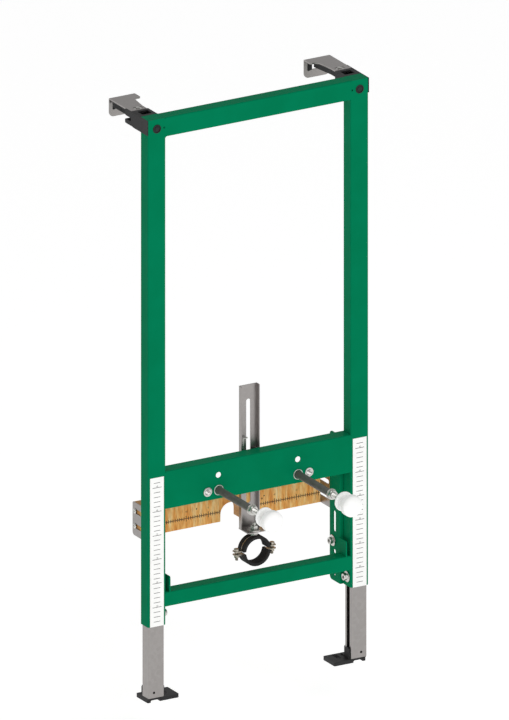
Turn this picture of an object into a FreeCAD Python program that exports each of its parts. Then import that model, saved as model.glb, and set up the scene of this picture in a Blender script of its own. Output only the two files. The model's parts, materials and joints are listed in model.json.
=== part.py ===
import FreeCAD, Part
import math
import os

from FreeCAD import Vector

# Wall mounting frame for a bidet or a wall hung pan: two box posts with bars between
# them, telescopic legs, wall brackets, a waste clamp on a slotted carrier, a tap board
# and two long studs. Sizes are in millimetres. While it is modelled, X = 0 is the middle
# of the frame, Y = 0 its front face with +Y towards the wall, and Z = 0 the floor.

# Posts and bars
FRAME_W = 500.0          # over the outsides of the posts
POST_W = 40.0            # box section, across the frame
POST_D = 30.0            # box section, front to back
POST_L = 1060.0
TUBE_WALL = 2.0
TUBE_R = 2.5             # outer corner radius of the box section
TOP_BAR_H = 40.0
PAST = 1.0               # how far cutters run past a face, and welded pieces reach in
BOTTOM_BAR_H = 30.0
BOTTOM_BAR_RISE = 37.0   # its underside above the foot of the posts
LUG_GAP = 8.5            # from the inside of the post to the lug on the bottom bar
LUG_T = 2.5
LUG_RISE = 32.0          # lug's top above the bar
LUG_CORNER_R = 3.0
WEB_FILLET = 6.0         # weld fillet in the corners of the top bar

# Legs, as drawn out in the photograph
LEG_SHORTEST = 60.0      # post foot above the floor with the legs pushed in
LEG_OUT = 100.0          # half of the 200 mm that they can be drawn out
LEG_L = 370.0
LEG_WALL = 2.0
LEG_CLEAR = 0.5          # between leg and post, on each side
LEG_SLOT = 12.0          # open side of the leg's C section
LEG_HOLE_R = 2.5
LEG_HOLE_RISE = 11.0     # above the end of the leg
LEG_HOLE_OUT = 15.0      # from the outside of the post

# Feet
FOOT_OUT = 2.5           # foot plate's edge in from the outside of the post
FOOT_W = 71.0
FOOT_FRONT = 6.0
FOOT_D = 45.0
FOOT_T = 8.0
FOOT_SEAT = 2.0          # pad under the leg
FOOT_CORNER_R = 2.0
FOOT_ARCH_W = 21.0
FOOT_ARCH_H = 4.5
FOOT_ARCH_D = 30.0
FOOT_ARCH_R = 3.0
FOOT_PAD_BACK = 6.0      # pad's edge in front of the plate's rear edge
FOOT_PLUG_H = 20.0
FOOT_PLUG_CLEAR = 0.3
FOOT_PLUG_R = 1.0
FOOT_PIN_DEEP = 12.0
FOOT_TAB_H = 22.0        # upright tab on the leg's slotted side
FOOT_TAB_T = 3.0
FOOT_TAB_W = 16.0
FOOT_TAB_R = 5.0
FOOT_WALL_T = 3.0        # wall behind the leg, as high as the tab
FOOT_SLOT_W = 10.0
FOOT_SLOT_L = 26.0
FOOT_SLOT_OUT = 52.0     # from the outside of the post
FOOT_SLOT_BACK = 34.0    # from the front face of the posts

# Front panel
PANEL_RISE = 241.0       # its underside above the foot of the posts
PANEL_H = 79.0
PANEL_T = 2.0
STUD_SPACING = 180.0
STUD_RISE = 19.0         # above the panel's underside
INSERT_SPACING = 230.0
UPPER_HOLE_RISE = 31.0   # above the studs
UPPER_HOLE_R = 6.0
COLLAR_R = 10.0          # drawn collar round each stud
COLLAR_OUT = 1.5

# Studs with their sleeves and caps
STUD_R = 6.0
STUD_CLEAR = 0.5
STUD_BACK = 18.0         # end of the stud behind the panel's face
STUD_FRONT = 210.0       # end of the stud in front of the panel's face
NUT_AF = 18.0
NUT_H = 8.0
THREAD_DEPTH = 0.5       # nuts grip this far into a plain shank
NUT_CHAMFER = 0.12       # chamfer's share of a nut's height
NUT_FACE = 0.95          # a nut's flat end, of its width over flats
TOUCH = 0.05             # play of what is pushed on a rod
SLEEVE_R = 7.5
SLEEVE_L = 130.0
SLEEVE_CLEAR = 0.3
WASHER_R = 11.0
WASHER_T = 2.0
DISC_R = 20.0
DISC_T = 5.0
DISC_EDGE_R = 1.2
DISC_NECK_R = 9.0
DISC_NECK_L = 8.0
DISC_FRONT = 183.0       # front face of the white disc, in front of the panel
CAP_R = 22.0
CAP_BACK = 195.0
CAP_SIDE = 10.0          # straight part of the cap's side
CAP_RIM = 9.0            # cone behind it
CAP_TAPER = 6.0          # how much the cone narrows
CAP_BORE_OVER = 1.0      # bore beyond the end of the stud
CAP_DOME = 11.0

# Insert nuts
INSERT_R = 8.0
INSERT_BORE_R = 5.1      # M12 thread, minor diameter
INSERT_FLANGE_R = 9.5
INSERT_FLANGE_T = 2.0
INSERT_L = 18.0
INSERT_BULGE = 1.2       # upset ring behind the panel
INSERT_BULGE_L = 4.0

# Side rails behind the posts
RAIL_T = 2.0
RAIL_GAP = 5.0           # from the inside of the post to the rail's web
RAIL_D = 41.0
RAIL_L = 310.0
RAIL_EDGE = 4.0          # rail's flange in from the outside of the post
RAIL_CORNER_R = 8.0
RAIL_SLOT_W = 9.0
RAIL_SLOT_BACK = 22.0    # behind the posts
RAIL_SLOT_RISE = 125.0
RAIL_SLOT_L = 44.0
RAIL_HOLE_RISE = 62.0
RAIL_PIN_RISE = 13.0
RAIL_PIN_R = 2.5
RAIL_SCREW_BACK = 29.0
RAIL_SCREW_RISE = 83.0

# Flange screws of the legs and rails
SCREW_R = 4.0
SCREW_HOLE_R = 4.5
SCREW_FLANGE_R = 11.5
SCREW_FLANGE_T = 2.0
SCREW_HEAD_R = 7.0
SCREW_HEAD_H = 7.0
SOCKET_AF = 6.0
SOCKET_DEEP = 4.0
SCREW_EDGE_R = 1.0
SCREW_END = 3.0          # shank beyond its nut
SCREW_NUT_AF = 13.0
SCREW_NUT_H = 6.5
LEG_SCREW_RISE = 20.0
CLAMP_NUT = 16.0         # square nut inside the leg
CLAMP_NUT_T = 5.0
CLAMP_NUT_CLEAR = 0.3

# Wall brackets
WALL_Y = 155.0           # wall face behind the frame's front
BRACKET_T = 3.0
BRACKET_W = 36.0
BRACKET_NECK = 42.0      # width where the wide rear part begins
BRACKET_TAPER_BACK = 86.0    # where it begins to widen
BRACKET_REAR_W = 58.0
BRACKET_REAR_D = 27.0
BRACKET_GAP = 0.5        # from the holder to the bracket's front end
BRACKET_R = 5.0
NECK_R = 10.0
FLANGE_H = 39.5
FLANGE_R = 10.0
FLANGE_SLOT_W = 12.0
FLANGE_SLOT_L = 36.0
FLANGE_SLOT_DROP = 17.0  # slot's centre below the top of the frame
OVAL_L = 20.0
OVAL_W = 11.0
OVAL_BACK = 77.0
OVAL_OUT = 21.0

# Black bracket holders, slides and latches
HOLDER_BACK = 66.0
HOLDER_H = 31.0
HOLDER_CAP_T = 1.5       # skin over the outside of the post
HOLDER_CHAMFER = 12.0
HOLDER_CLEAR = 0.3
HOLDER_IN = 2.0          # housing's inner side from the inside of the post
HOLDER_FRONT_T = 1.0
HOLDER_EAR_BACK = 88.0   # strip of the skin beside the slide
HOLDER_EAR_H = 14.0
WINDOW_FRONT = 38.0      # opening in the holder's roof
WINDOW_BACK = 58.0
WINDOW_W = 22.0
WINDOW_OUT = 9.0
WINDOW_R = 2.0
SLIDE_H = 11.0
SLIDE_WALL = 3.5
SLIDE_IN = 0.5           # slide's edge inside the bracket's
SLIDE_FRONT = 36.0       # slide's end inside the holder
SLIDE_END = 13.0         # slide's end in front of the wall
SLIDE_RIBS = 6
SLIDE_RIB_T = 2.0
SLIDE_RIB_H = 5.5
SLIDE_END_R = 2.5
TEETH = 14               # notches of the latch along the slide's outer side
TOOTH_PITCH = 5.0
TOOTH_W = 2.0
TOOTH_DEEP = 1.0
TOOTH_TOP = 2.5          # solid rim above the notches
LATCH_L = 25.0
LATCH_T = 9.0
LATCH_W = 22.0
LATCH_END_R = 3.0
PIN_R = 3.0
PIN_HEAD_R = 4.4
PIN_HEAD_H = 1.6
PLUG_R = 8.0
PLUG_OUT = 1.6
PLUG_EDGE_R = 1.3
PLUG_HOLE_IN = 2.0       # post's hole is this much smaller in radius
PLUG_PEG_CLEAR = 0.3
PLUG_IN = 20.0           # from the outside and the top of the post
PEEP_R = 2.0
PEEP_IN = 37.0

# Ruler strips on the posts
STRIP_W = 31.0
STRIP_T = 0.4
STRIP_L = 311.0

# Tap board and its brackets
BOARD_FRONT = 110.0      # front of the board behind the frame's front
BOARD_T = 26.0
BOARD_H = 68.0
BOARD_RISE = 146.0       # its underside above the foot of the posts
ARCH_W = 44.0
ARCH_TOP = 37.0          # above the board's underside
BOARD_BRACKET_T = 2.0
BOARD_BRACKET_FRONT = 20.0   # behind the posts
BOARD_BRACKET_OVER = 1.0     # stands above the board
BOARD_BRACKET_CUT = 7.0
BOARD_BRACKET_R = 3.0
BOARD_SLOT_L = 54.0
BOARD_SLOT_W = 9.0
BOARD_SLOT_GAP = 31.0
BOARD_SLOT_RISE = 2.0    # middle of the slots above the middle of the board
BOARD_SLOT_FRONT = 18.0  # middle of the slots in front of the board's middle
BOARD_SCREW_BEHIND = 3.0     # screws behind the board's middle
BOARD_SCREW_R = 2.5
BOARD_SCREW_HEAD_R = 5.5
BOARD_SCREW_HEAD_H = 2.5
HEAD_EDGE_R = 1.5        # rounding of the pan heads

# Waste carrier
CARRIER_W = 42.0
CARRIER_T = 2.0
CARRIER_LIP = 8.6
CARRIER_CLEAR = 0.4      # behind the panel
CARRIER_L = 299.0
CARRIER_RISE = 153.0     # its lower end above the foot of the posts
CARRIER_CORNER_R = 1.5
CARRIER_SLOT_W = 9.6
CARRIER_SLOT_L = 218.0
CARRIER_SLOT_DROP = 30.0
SHELF_D = 36.0
SHELF_CORNER_R = 6.0
GUIDE_T = 2.0
GUIDE_CLEAR = 1.0        # beside the carrier's lips and in front of its web
GUIDE_OUT = 4.0          # guide's web behind the panel
GUIDE_DROP = 2.0         # its top below the panel's
GUIDE_SLOT_DEEP = 40.0
CATCH_RISE = 25.0        # catch of the guide above the panel
CATCH_L = 12.0           # its bent end, towards the slot
CATCH_D = 5.0            # front to back
CARRIER_BOLT_DROP = 15.0  # below the top of the panel
CARRIER_HEAD_R = 8.0
CARRIER_HEAD_T = 3.0
CARRIER_WASHER_R = 8.5
CARRIER_WASHER_T = 1.6
CARRIER_NUT_CLEAR = 0.3
CARRIER_BEND_R = 1.8

# Pipe clamp for a 50 mm waste pipe
PIPE_R = 25.0
RUBBER_T = 3.0
RUBBER_W = 25.0
BAND_T = 2.0
BAND_W = 20.0
CLAMP_Y = 16.0
CLAMP_DROP = 39.0        # below the shelf
EAR_OUT = 47.0
EAR_W = 14.0
EAR_GAP = 5.0            # between the halves, rubber and band alike
EAR_BOLT_OUT = 40.0
EAR_BOLT_R = 3.0
EAR_BOLT_L = 20.0
EAR_BOLT_CLEAR = 0.2
EAR_CORNER_R = 4.0
EAR_SLIT_W = 1.2
EAR_SLIT_DEEP = 1.6
RUBBER_LIP = 1.0         # lips of the rubber over the band
RUBBER_LIP_IN = 2.5      # how far they reach in from the band's edges
EAR_HEAD_R = 5.5
EAR_HEAD_H = 5.0
EAR_NUT_AF = 10.0
EAR_NUT_H = 5.0
BOSS_AF = 13.0
HANGER_R = 4.0
HANGER_CLEAR = 0.3
HANGER_NUT_H = 8.0
HANGER_WASHER_R = 14.0
HANGER_WASHER_T = 2.0
HANGER_TOP = 6.0         # stud above its nut

# Levels and places worked out from the sizes above
HALF = FRAME_W / 2
IN = HALF - POST_W                     # inside faces of the posts
FOOT_Z = LEG_SHORTEST + LEG_OUT        # foot of the posts
TOP_Z = FOOT_Z + POST_L
PANEL_Z = FOOT_Z + PANEL_RISE
PANEL_TOP = PANEL_Z + PANEL_H
STUD_Z = PANEL_Z + STUD_RISE
BAR_Z = FOOT_Z + BOTTOM_BAR_RISE
WEB_X = IN - RAIL_GAP                  # outer face of the rails' webs
LEG_W = POST_W - 2 * (TUBE_WALL + LEG_CLEAR)
LEG_D = POST_D - 2 * (TUBE_WALL + LEG_CLEAR)
LEG_OUTSIDE = HALF - TUBE_WALL - LEG_CLEAR
LEG_Z = FOOT_T + FOOT_SEAT
SLIDE_Z = TOP_Z - BRACKET_T - SLIDE_H
NECK_Y = WALL_Y - BRACKET_REAR_D       # where the bracket's wide rear begins
FLANGE_MID_X = HALF - BRACKET_REAR_W / 2
BOARD_Z = FOOT_Z + BOARD_RISE
CARRIER_Z = FOOT_Z + CARRIER_RISE
CARRIER_Y = POST_D + CARRIER_CLEAR     # front edges of the carrier's lips
CARRIER_WEB = CARRIER_Y + CARRIER_LIP  # front of its web
CLAMP_Z = CARRIER_Z - CLAMP_DROP
BAND_R = PIPE_R + RUBBER_T + BAND_T
X, Y, Z = Vector(1, 0, 0), Vector(0, 1, 0), Vector(0, 0, 1)

# The part's origin is on the wall face of the left bracket, in the middle across, and
# midway between the flange's lower edge and its slot.
SLOT_Z = TOP_Z - FLANGE_SLOT_DROP
FLANGE_LOW = TOP_Z - FLANGE_H
ORIGIN = Vector(-FLANGE_MID_X, WALL_Y, (FLANGE_LOW + SLOT_Z - FLANGE_SLOT_W / 2) / 2)


def box(x0, x1, y0, y1, z0, z1):
    """Block between two corners."""
    return Part.makeBox(x1 - x0, y1 - y0, z1 - z0, Vector(x0, y0, z0))


def rod(centre, axis, radius, length):
    """Cylinder that starts at centre and runs along axis."""
    return Part.makeCylinder(radius, length, centre, axis)


def round_edges(shape, axis, radius, where=None):
    """Fillet the straight edges along axis, all of them or those that where accepts."""
    edges = []
    for edge in shape.Edges:
        if len(edge.Vertexes) == 2 and edge.Curve.TypeId == "Part::GeomLine":
            run = edge.Vertexes[1].Point.sub(edge.Vertexes[0].Point)
            if run.cross(axis).Length < 1e-6 and (where is None or where(edge.CenterOfMass)):
                edges.append(edge)
    return shape.makeFillet(radius, edges)


def tube(x0, x1, y0, y1, z0, z1, wall, radius, axis):
    """Rolled box section between two corners, open at both ends along axis."""
    outer = round_edges(box(x0, x1, y0, y1, z0, z1), axis, radius)
    gap = [0.0 if abs(axis[i]) > 0.5 else wall for i in range(3)]
    core = box(x0 + gap[0], x1 - gap[0], y0 + gap[1], y1 - gap[1], z0 + gap[2], z1 - gap[2])
    return outer.cut(round_edges(core, axis, max(radius - wall, 0.4)))


def profile(points, run):
    """Prism: the closed polygon through the points, pushed along run."""
    return Part.Face(Part.makePolygon(points + [points[0]])).extrude(run)


def slot(centre, normal, along, width, length, depth):
    """Round-ended cutter, long along one direction, its middle at centre."""
    side = normal.cross(along)
    r, h = width / 2, (length - width) / 2
    c = centre - normal * (depth / 2)
    a, b, d = c + along * h + side * r, c + along * (h + r), c + along * h - side * r
    e, f, g = c - along * h - side * r, c - along * (h + r), c - along * h + side * r
    edges = [Part.Arc(a, b, d).toShape(), Part.LineSegment(d, e).toShape(),
             Part.Arc(e, f, g).toShape(), Part.LineSegment(g, a).toShape()]
    return Part.Face(Part.Wire(edges)).extrude(normal * depth)


def hexagon(centre, axis, flats, height):
    """Six-sided prism that starts at centre and runs along axis."""
    side = Z if abs(axis.z) < 0.5 else X
    other = axis.cross(side)
    r = flats / math.sqrt(3)
    points = []
    for i in range(6):
        turn = math.radians(60 * i + 30)
        points.append(centre + side * (r * math.cos(turn)) + other * (r * math.sin(turn)))
    return profile(points, axis * height)


def hex_nut(centre, axis, flats, height, bore):
    """Nut with both ends chamfered, its bore at the given radius."""
    blank = hexagon(centre, axis, flats, height)
    corner, face, drop = flats / math.sqrt(3), flats * NUT_FACE / 2, height * NUT_CHAMFER
    cone = Part.makeCone(face, corner, drop, centre, axis)
    cone = cone.fuse(rod(centre + axis * drop, axis, corner, height - 2 * drop))
    upper = Part.makeCone(corner, face, drop, centre + axis * (height - drop), axis)
    return blank.common(cone.fuse(upper)).cut(rod(centre, axis, bore, height))


def mirrored(shape):
    """The same piece on the left of the frame."""
    return shape.mirror(Vector(0, 0, 0), X)


def flange_screw(seat, out, shank, end_nut=None):
    """Socket screw with a wide flange. Its flange sits on seat and its head points out."""
    back = out * -1
    body = rod(seat, out, SCREW_FLANGE_R, SCREW_FLANGE_T)
    head = rod(seat + out * SCREW_FLANGE_T, out, SCREW_HEAD_R, SCREW_HEAD_H)
    rim = [e for e in head.Edges if e.Curve.TypeId == "Part::GeomCircle"
           and (e.Curve.Center - seat).dot(out) > SCREW_FLANGE_T + 1]
    head = head.makeFillet(SCREW_EDGE_R, rim)
    top = seat + out * (SCREW_FLANGE_T + SCREW_HEAD_H)
    socket = hexagon(top + back * SOCKET_DEEP, out, SOCKET_AF, SOCKET_DEEP + PAST)
    screw = body.fuse(head).cut(socket).fuse(rod(seat, back, SCREW_R, shank))
    if end_nut is not None:
        screw = screw.fuse(end_nut)
    return screw


def post():
    """Right post: box tube with a welded top, drilled for the plug and the leg screw."""
    body = tube(IN, HALF, 0, POST_D, FOOT_Z, TOP_Z, TUBE_WALL, TUBE_R, Z)
    wall = TUBE_WALL
    body = body.fuse(box(IN + wall, HALF - wall, wall, POST_D - wall, TOP_Z - wall, TOP_Z))
    deep = wall + 2 * PAST
    drill = rod(Vector(IN - PAST, POST_D / 2, FOOT_Z + LEG_SCREW_RISE), X, SCREW_HOLE_R, deep)
    plug = rod(Vector(HALF - PLUG_IN, -PAST, TOP_Z - PLUG_IN), Y, PLUG_R - PLUG_HOLE_IN, deep)
    peep = rod(Vector(HALF - PEEP_IN, -PAST, TOP_Z - PLUG_IN), Y, PEEP_R, deep)
    return body.cut(drill).cut(plug).cut(peep).removeSplitter()


def top_bar():
    """Box tube between the posts, with weld fillets in its lower corners."""
    low = TOP_Z - TOP_BAR_H
    bar = tube(-IN, IN, 0, POST_D, low, TOP_Z, TUBE_WALL, TUBE_R, X)
    for side in (-1, 1):
        corner = Vector(side * IN, TUBE_R, low)
        run, drop, rise = X * (-side * WEB_FILLET), Z * -WEB_FILLET, Z * TUBE_R
        blank = profile([corner + rise, corner + run + rise, corner + run, corner + drop],
                        Y * (POST_D - 2 * TUBE_R))
        bar = bar.fuse(blank.cut(rod(corner + run + drop - Y * TUBE_R, Y, WEB_FILLET, POST_D)))
    return bar.removeSplitter()


def bottom_bar():
    """Box tube between the posts, with an upright lug near each end."""
    bar = tube(-IN, IN, 0, POST_D, BAR_Z, BAR_Z + BOTTOM_BAR_H, TUBE_WALL, TUBE_R, X)
    top = BAR_Z + BOTTOM_BAR_H
    for side in (-1, 1):
        outer = side * (IN - LUG_GAP)
        inner = side * (IN - LUG_GAP - LUG_T)
        lug = box(min(outer, inner), max(outer, inner), 0, POST_D, top - PAST, top + LUG_RISE)
        bar = bar.fuse(round_edges(lug, X, LUG_CORNER_R, lambda p: p.z > top + 1))
    return bar.removeSplitter()


def front_panel():
    """Channel that carries the studs, open to the rear, with drawn collars and holes."""
    low, high = PANEL_Z + PANEL_T, PANEL_TOP - PANEL_T
    panel = round_edges(box(-IN, IN, 0, POST_D, PANEL_Z, PANEL_TOP), X, TUBE_R,
                        lambda p: p.y < 1)
    panel = panel.cut(box(-IN, IN, PANEL_T, POST_D, low, high))
    for side in (-1, 1):
        stud = Vector(side * STUD_SPACING / 2, 0, STUD_Z)
        insert = Vector(side * INSERT_SPACING / 2, 0, STUD_Z)
        upper = stud + Vector(0, 0, UPPER_HOLE_RISE)
        collar = Part.makeCone(COLLAR_R - COLLAR_OUT, COLLAR_R, COLLAR_OUT,
                               stud - Y * COLLAR_OUT, Y)
        panel = panel.fuse(collar)
        through = -Y * (COLLAR_OUT + PAST)
        deep = PANEL_T + COLLAR_OUT + 2 * PAST
        panel = panel.cut(rod(stud + through, Y, SLEEVE_R + STUD_CLEAR, deep))
        panel = panel.cut(rod(insert + through, Y, INSERT_R + STUD_CLEAR, deep))
        panel = panel.cut(rod(upper + through, Y, UPPER_HOLE_R, deep))
    return panel.removeSplitter()


def side_rail():
    """Right rail: an angle on the back of the post, slotted for adjustable brackets."""
    low, high = FOOT_Z, FOOT_Z + RAIL_L
    inner, outer = WEB_X - RAIL_T, HALF - RAIL_EDGE
    back = POST_D + RAIL_D
    rail = profile([Vector(inner, POST_D, low), Vector(outer, POST_D, low),
                    Vector(outer, POST_D + RAIL_T, low), Vector(WEB_X, POST_D + RAIL_T, low),
                    Vector(WEB_X, back, low), Vector(inner, back, low)], Z * RAIL_L)
    rail = round_edges(rail, Z, RAIL_T, lambda p: p.x < inner + 1 and p.y < POST_D + 1)
    rail = round_edges(rail, X, RAIL_CORNER_R, lambda p: p.y > back - 1 and p.z < low + 1)
    rail = round_edges(rail, X, RAIL_CORNER_R, lambda p: p.y > back - 1 and p.z > high - 1)
    at, start, deep = POST_D + RAIL_SLOT_BACK, inner - PAST, RAIL_T + 2 * PAST
    rail = rail.cut(slot(Vector(WEB_X - RAIL_T / 2, at, low + RAIL_SLOT_RISE), X, Z,
                         RAIL_SLOT_W, RAIL_SLOT_L, deep))
    rail = rail.cut(rod(Vector(start, at, low + RAIL_HOLE_RISE), X, RAIL_SLOT_W / 2, deep))
    rail = rail.cut(rod(Vector(start, at, low + RAIL_PIN_RISE), X, RAIL_PIN_R, deep))
    screw = Vector(start, POST_D + RAIL_SCREW_BACK, low + RAIL_SCREW_RISE)
    return rail.cut(rod(screw, X, SCREW_HOLE_R, deep))


def leg():
    """Right leg: C section that slides in the post, its slot towards the frame's middle."""
    inside = LEG_OUTSIDE - LEG_W
    front = (POST_D - LEG_D) / 2
    body = tube(inside, LEG_OUTSIDE, front, front + LEG_D, LEG_Z, LEG_Z + LEG_L, LEG_WALL,
                TUBE_R - TUBE_WALL / 2, Z)
    mid = POST_D / 2
    body = body.cut(box(inside - PAST, inside + LEG_WALL + PAST, mid - LEG_SLOT / 2,
                        mid + LEG_SLOT / 2, LEG_Z - PAST, LEG_Z + LEG_L + PAST))
    hole = Vector(HALF - LEG_HOLE_OUT, front - PAST, LEG_Z + LEG_HOLE_RISE)
    return body.cut(rod(hole, Y, LEG_HOLE_R, LEG_WALL + 2 * PAST))


def foot():
    """Right foot: moulded plate, a plug in the leg, walls beside it and a bolt slot."""
    outer, back = HALF - FOOT_OUT, FOOT_FRONT + FOOT_D
    plate = round_edges(box(outer - FOOT_W, outer, FOOT_FRONT, back, 0, FOOT_T), Z, FOOT_CORNER_R)
    leg_in = LEG_OUTSIDE - LEG_W
    leg_mid = LEG_OUTSIDE - LEG_W / 2
    arch = box(leg_mid - FOOT_ARCH_W / 2, leg_mid + FOOT_ARCH_W / 2, FOOT_FRONT - PAST,
               FOOT_FRONT + FOOT_ARCH_D, -PAST, FOOT_ARCH_H)
    plate = plate.cut(round_edges(arch, Y, FOOT_ARCH_R, lambda p: p.z > FOOT_ARCH_H - 1))
    leg_back = (POST_D + LEG_D) / 2
    pad = box(leg_in, min(LEG_OUTSIDE, outer), FOOT_FRONT, back - FOOT_PAD_BACK,
              FOOT_T - PAST, LEG_Z)
    core = LEG_WALL + FOOT_PLUG_CLEAR
    plug = box(leg_in + core, LEG_OUTSIDE - core, FOOT_FRONT, leg_back - core,
               LEG_Z - PAST, LEG_Z + FOOT_PLUG_H)
    mid, tab_top, tab_x = POST_D / 2, LEG_Z + FOOT_TAB_H, leg_in - FOOT_PLUG_CLEAR
    tab = box(tab_x - FOOT_TAB_T, tab_x, mid - FOOT_TAB_W / 2, mid + FOOT_TAB_W / 2,
              FOOT_T - PAST, tab_top)
    tab = round_edges(tab, X, FOOT_TAB_R, lambda p: p.z > tab_top - 1)
    wall_y = leg_back + FOOT_PLUG_CLEAR
    wall = box(leg_in, LEG_OUTSIDE, wall_y, wall_y + FOOT_WALL_T, FOOT_T - PAST, tab_top)
    wall = round_edges(wall, Y, FOOT_TAB_R, lambda p: p.z > tab_top - 1)
    neck = LEG_SLOT / 2 - FOOT_PLUG_CLEAR
    bridge = box(tab_x - PAST, leg_in + core + PAST, mid - neck, mid + neck, LEG_Z - PAST,
                 LEG_Z + FOOT_PLUG_H)
    plug = round_edges(plug, Z, FOOT_PLUG_R)
    body = plate.fuse(pad).fuse(plug).fuse(tab).fuse(wall).fuse(bridge)
    hole = Vector(HALF - FOOT_SLOT_OUT, FOOT_SLOT_BACK, FOOT_T / 2)
    body = body.cut(slot(hole, Z, Y, FOOT_SLOT_W, FOOT_SLOT_L, FOOT_T + 2 * PAST))
    pin = Vector(HALF - LEG_HOLE_OUT, FOOT_FRONT - PAST, LEG_Z + LEG_HOLE_RISE)
    return body.cut(rod(pin, Y, LEG_HOLE_R, FOOT_PIN_DEEP)).removeSplitter()


def leg_screw():
    """Right clamp screw: through the post into a square nut behind the leg's lips."""
    seat = Vector(IN, POST_D / 2, FOOT_Z + LEG_SCREW_RISE)
    lips = LEG_OUTSIDE - LEG_W + LEG_WALL + CLAMP_NUT_CLEAR
    half = CLAMP_NUT / 2
    nut = box(lips, lips + CLAMP_NUT_T, seat.y - half, seat.y + half, seat.z - half, seat.z + half)
    return flange_screw(seat, -X, lips + CLAMP_NUT_T - IN, nut)


def rail_screw():
    """Right rail screw with its nut on the outer side of the web."""
    seat = Vector(WEB_X - RAIL_T, POST_D + RAIL_SCREW_BACK, FOOT_Z + RAIL_SCREW_RISE)
    nut = hex_nut(Vector(WEB_X, seat.y, seat.z), X, SCREW_NUT_AF, SCREW_NUT_H,
                  SCREW_R - THREAD_DEPTH)
    return flange_screw(seat, -X, RAIL_T + SCREW_NUT_H + SCREW_END, nut)


def arm_width(y):
    """Width of the bracket's arm: even in front, then widening towards the neck."""
    share = max(0.0, y - BRACKET_TAPER_BACK) / (NECK_Y - BRACKET_TAPER_BACK)
    return BRACKET_W + share * (BRACKET_NECK - BRACKET_W)


def arm_outline(inset, front, back, z):
    """Plan of the arm between two depths: corners of its inner side, then its outer side."""
    return [Vector(HALF - arm_width(back) + inset, back, z),
            Vector(HALF - BRACKET_W + inset, BRACKET_TAPER_BACK, z),
            Vector(HALF - BRACKET_W + inset, front, z),
            Vector(HALF - inset, front, z), Vector(HALF - inset, back, z)]


def wall_bracket():
    """Right bracket: bent plate with a wide rear, a wall flange and a long wall slot."""
    low, front = TOP_Z - BRACKET_T, HOLDER_BACK + BRACKET_GAP
    wide = HALF - BRACKET_REAR_W
    outline = arm_outline(0.0, front, NECK_Y, low)[:-1]
    outline += [Vector(HALF, WALL_Y, low), Vector(wide, WALL_Y, low), Vector(wide, NECK_Y, low)]
    plate = profile(outline, Z * BRACKET_T)
    plate = round_edges(plate, Z, NECK_R, lambda p: abs(p.x - HALF + BRACKET_NECK) < 1)
    plate = round_edges(plate, Z, BRACKET_R,
                        lambda p: abs(p.x - wide) < 1 and abs(p.y - NECK_Y) < 1)
    flange = box(wide, HALF, WALL_Y - BRACKET_T, WALL_Y, FLANGE_LOW, TOP_Z)
    flange = round_edges(flange, Y, FLANGE_R, lambda p: p.z < TOP_Z - 1)
    body = plate.fuse(flange).removeSplitter()
    body = round_edges(body, X, BRACKET_T, lambda p: p.z > TOP_Z - 0.5 and p.y > WALL_Y - 0.5)
    wall_slot = Vector(FLANGE_MID_X, WALL_Y - BRACKET_T / 2, SLOT_Z)
    body = body.cut(slot(wall_slot, Y, X, FLANGE_SLOT_W, FLANGE_SLOT_L,
                         BRACKET_T + 2 * PAST))
    oval = Vector(HALF - OVAL_OUT, OVAL_BACK, low + BRACKET_T / 2)
    return body.cut(slot(oval, Z, X, OVAL_W, OVAL_L, BRACKET_T + 2 * PAST))


def bracket_slide():
    """Right slide: ribbed frame from the holder to the bracket's rear, toothed outside."""
    back, wall = WALL_Y - SLIDE_END, SLIDE_WALL
    block = profile(arm_outline(SLIDE_IN, SLIDE_FRONT, back, SLIDE_Z), Z * SLIDE_H)
    block = round_edges(block, Z, SLIDE_END_R, lambda p: p.y > back - 1)
    hollow = arm_outline(SLIDE_IN + wall, SLIDE_FRONT + wall, back - wall, SLIDE_Z - PAST)
    frame = block.cut(profile(hollow, Z * (SLIDE_H + 2 * PAST)))
    step = (back - SLIDE_FRONT - 2 * wall) / (SLIDE_RIBS + 1)
    for i in range(1, SLIDE_RIBS + 1):
        at = SLIDE_FRONT + wall + step * i
        rib = box(HALF - BRACKET_REAR_W, HALF, at - SLIDE_RIB_T / 2, at + SLIDE_RIB_T / 2,
                  SLIDE_Z, SLIDE_Z + SLIDE_RIB_H)
        frame = frame.fuse(rib.common(block))
    spine = box(HALF - OVAL_OUT - SLIDE_RIB_T / 2, HALF - OVAL_OUT + SLIDE_RIB_T / 2,
                SLIDE_FRONT + wall / 2, OVAL_BACK, SLIDE_Z, SLIDE_Z + SLIDE_RIB_H)
    boss = rod(Vector(HALF - OVAL_OUT, OVAL_BACK, SLIDE_Z), Z, PIN_R, SLIDE_H)
    frame = frame.fuse(spine).fuse(boss)
    for i in range(TEETH):
        at = HOLDER_BACK + TOOTH_PITCH * (i + 1) - TOOTH_W
        notch = box(HALF - SLIDE_IN - TOOTH_DEEP, HALF + PAST, at, at + TOOTH_W,
                    SLIDE_Z - PAST, SLIDE_Z + SLIDE_H - TOOTH_TOP)
        frame = frame.cut(notch)
    return frame.removeSplitter()


def bracket_pin():
    """Right pin: small screw in the bracket's oval hole."""
    seat = Vector(HALF - OVAL_OUT, OVAL_BACK, TOP_Z - BRACKET_T)
    shank = rod(seat, Z, PIN_R, BRACKET_T)
    head = rod(seat + Z * BRACKET_T, Z, PIN_HEAD_R, PIN_HEAD_H)
    return shank.fuse(head).removeSplitter()


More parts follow.
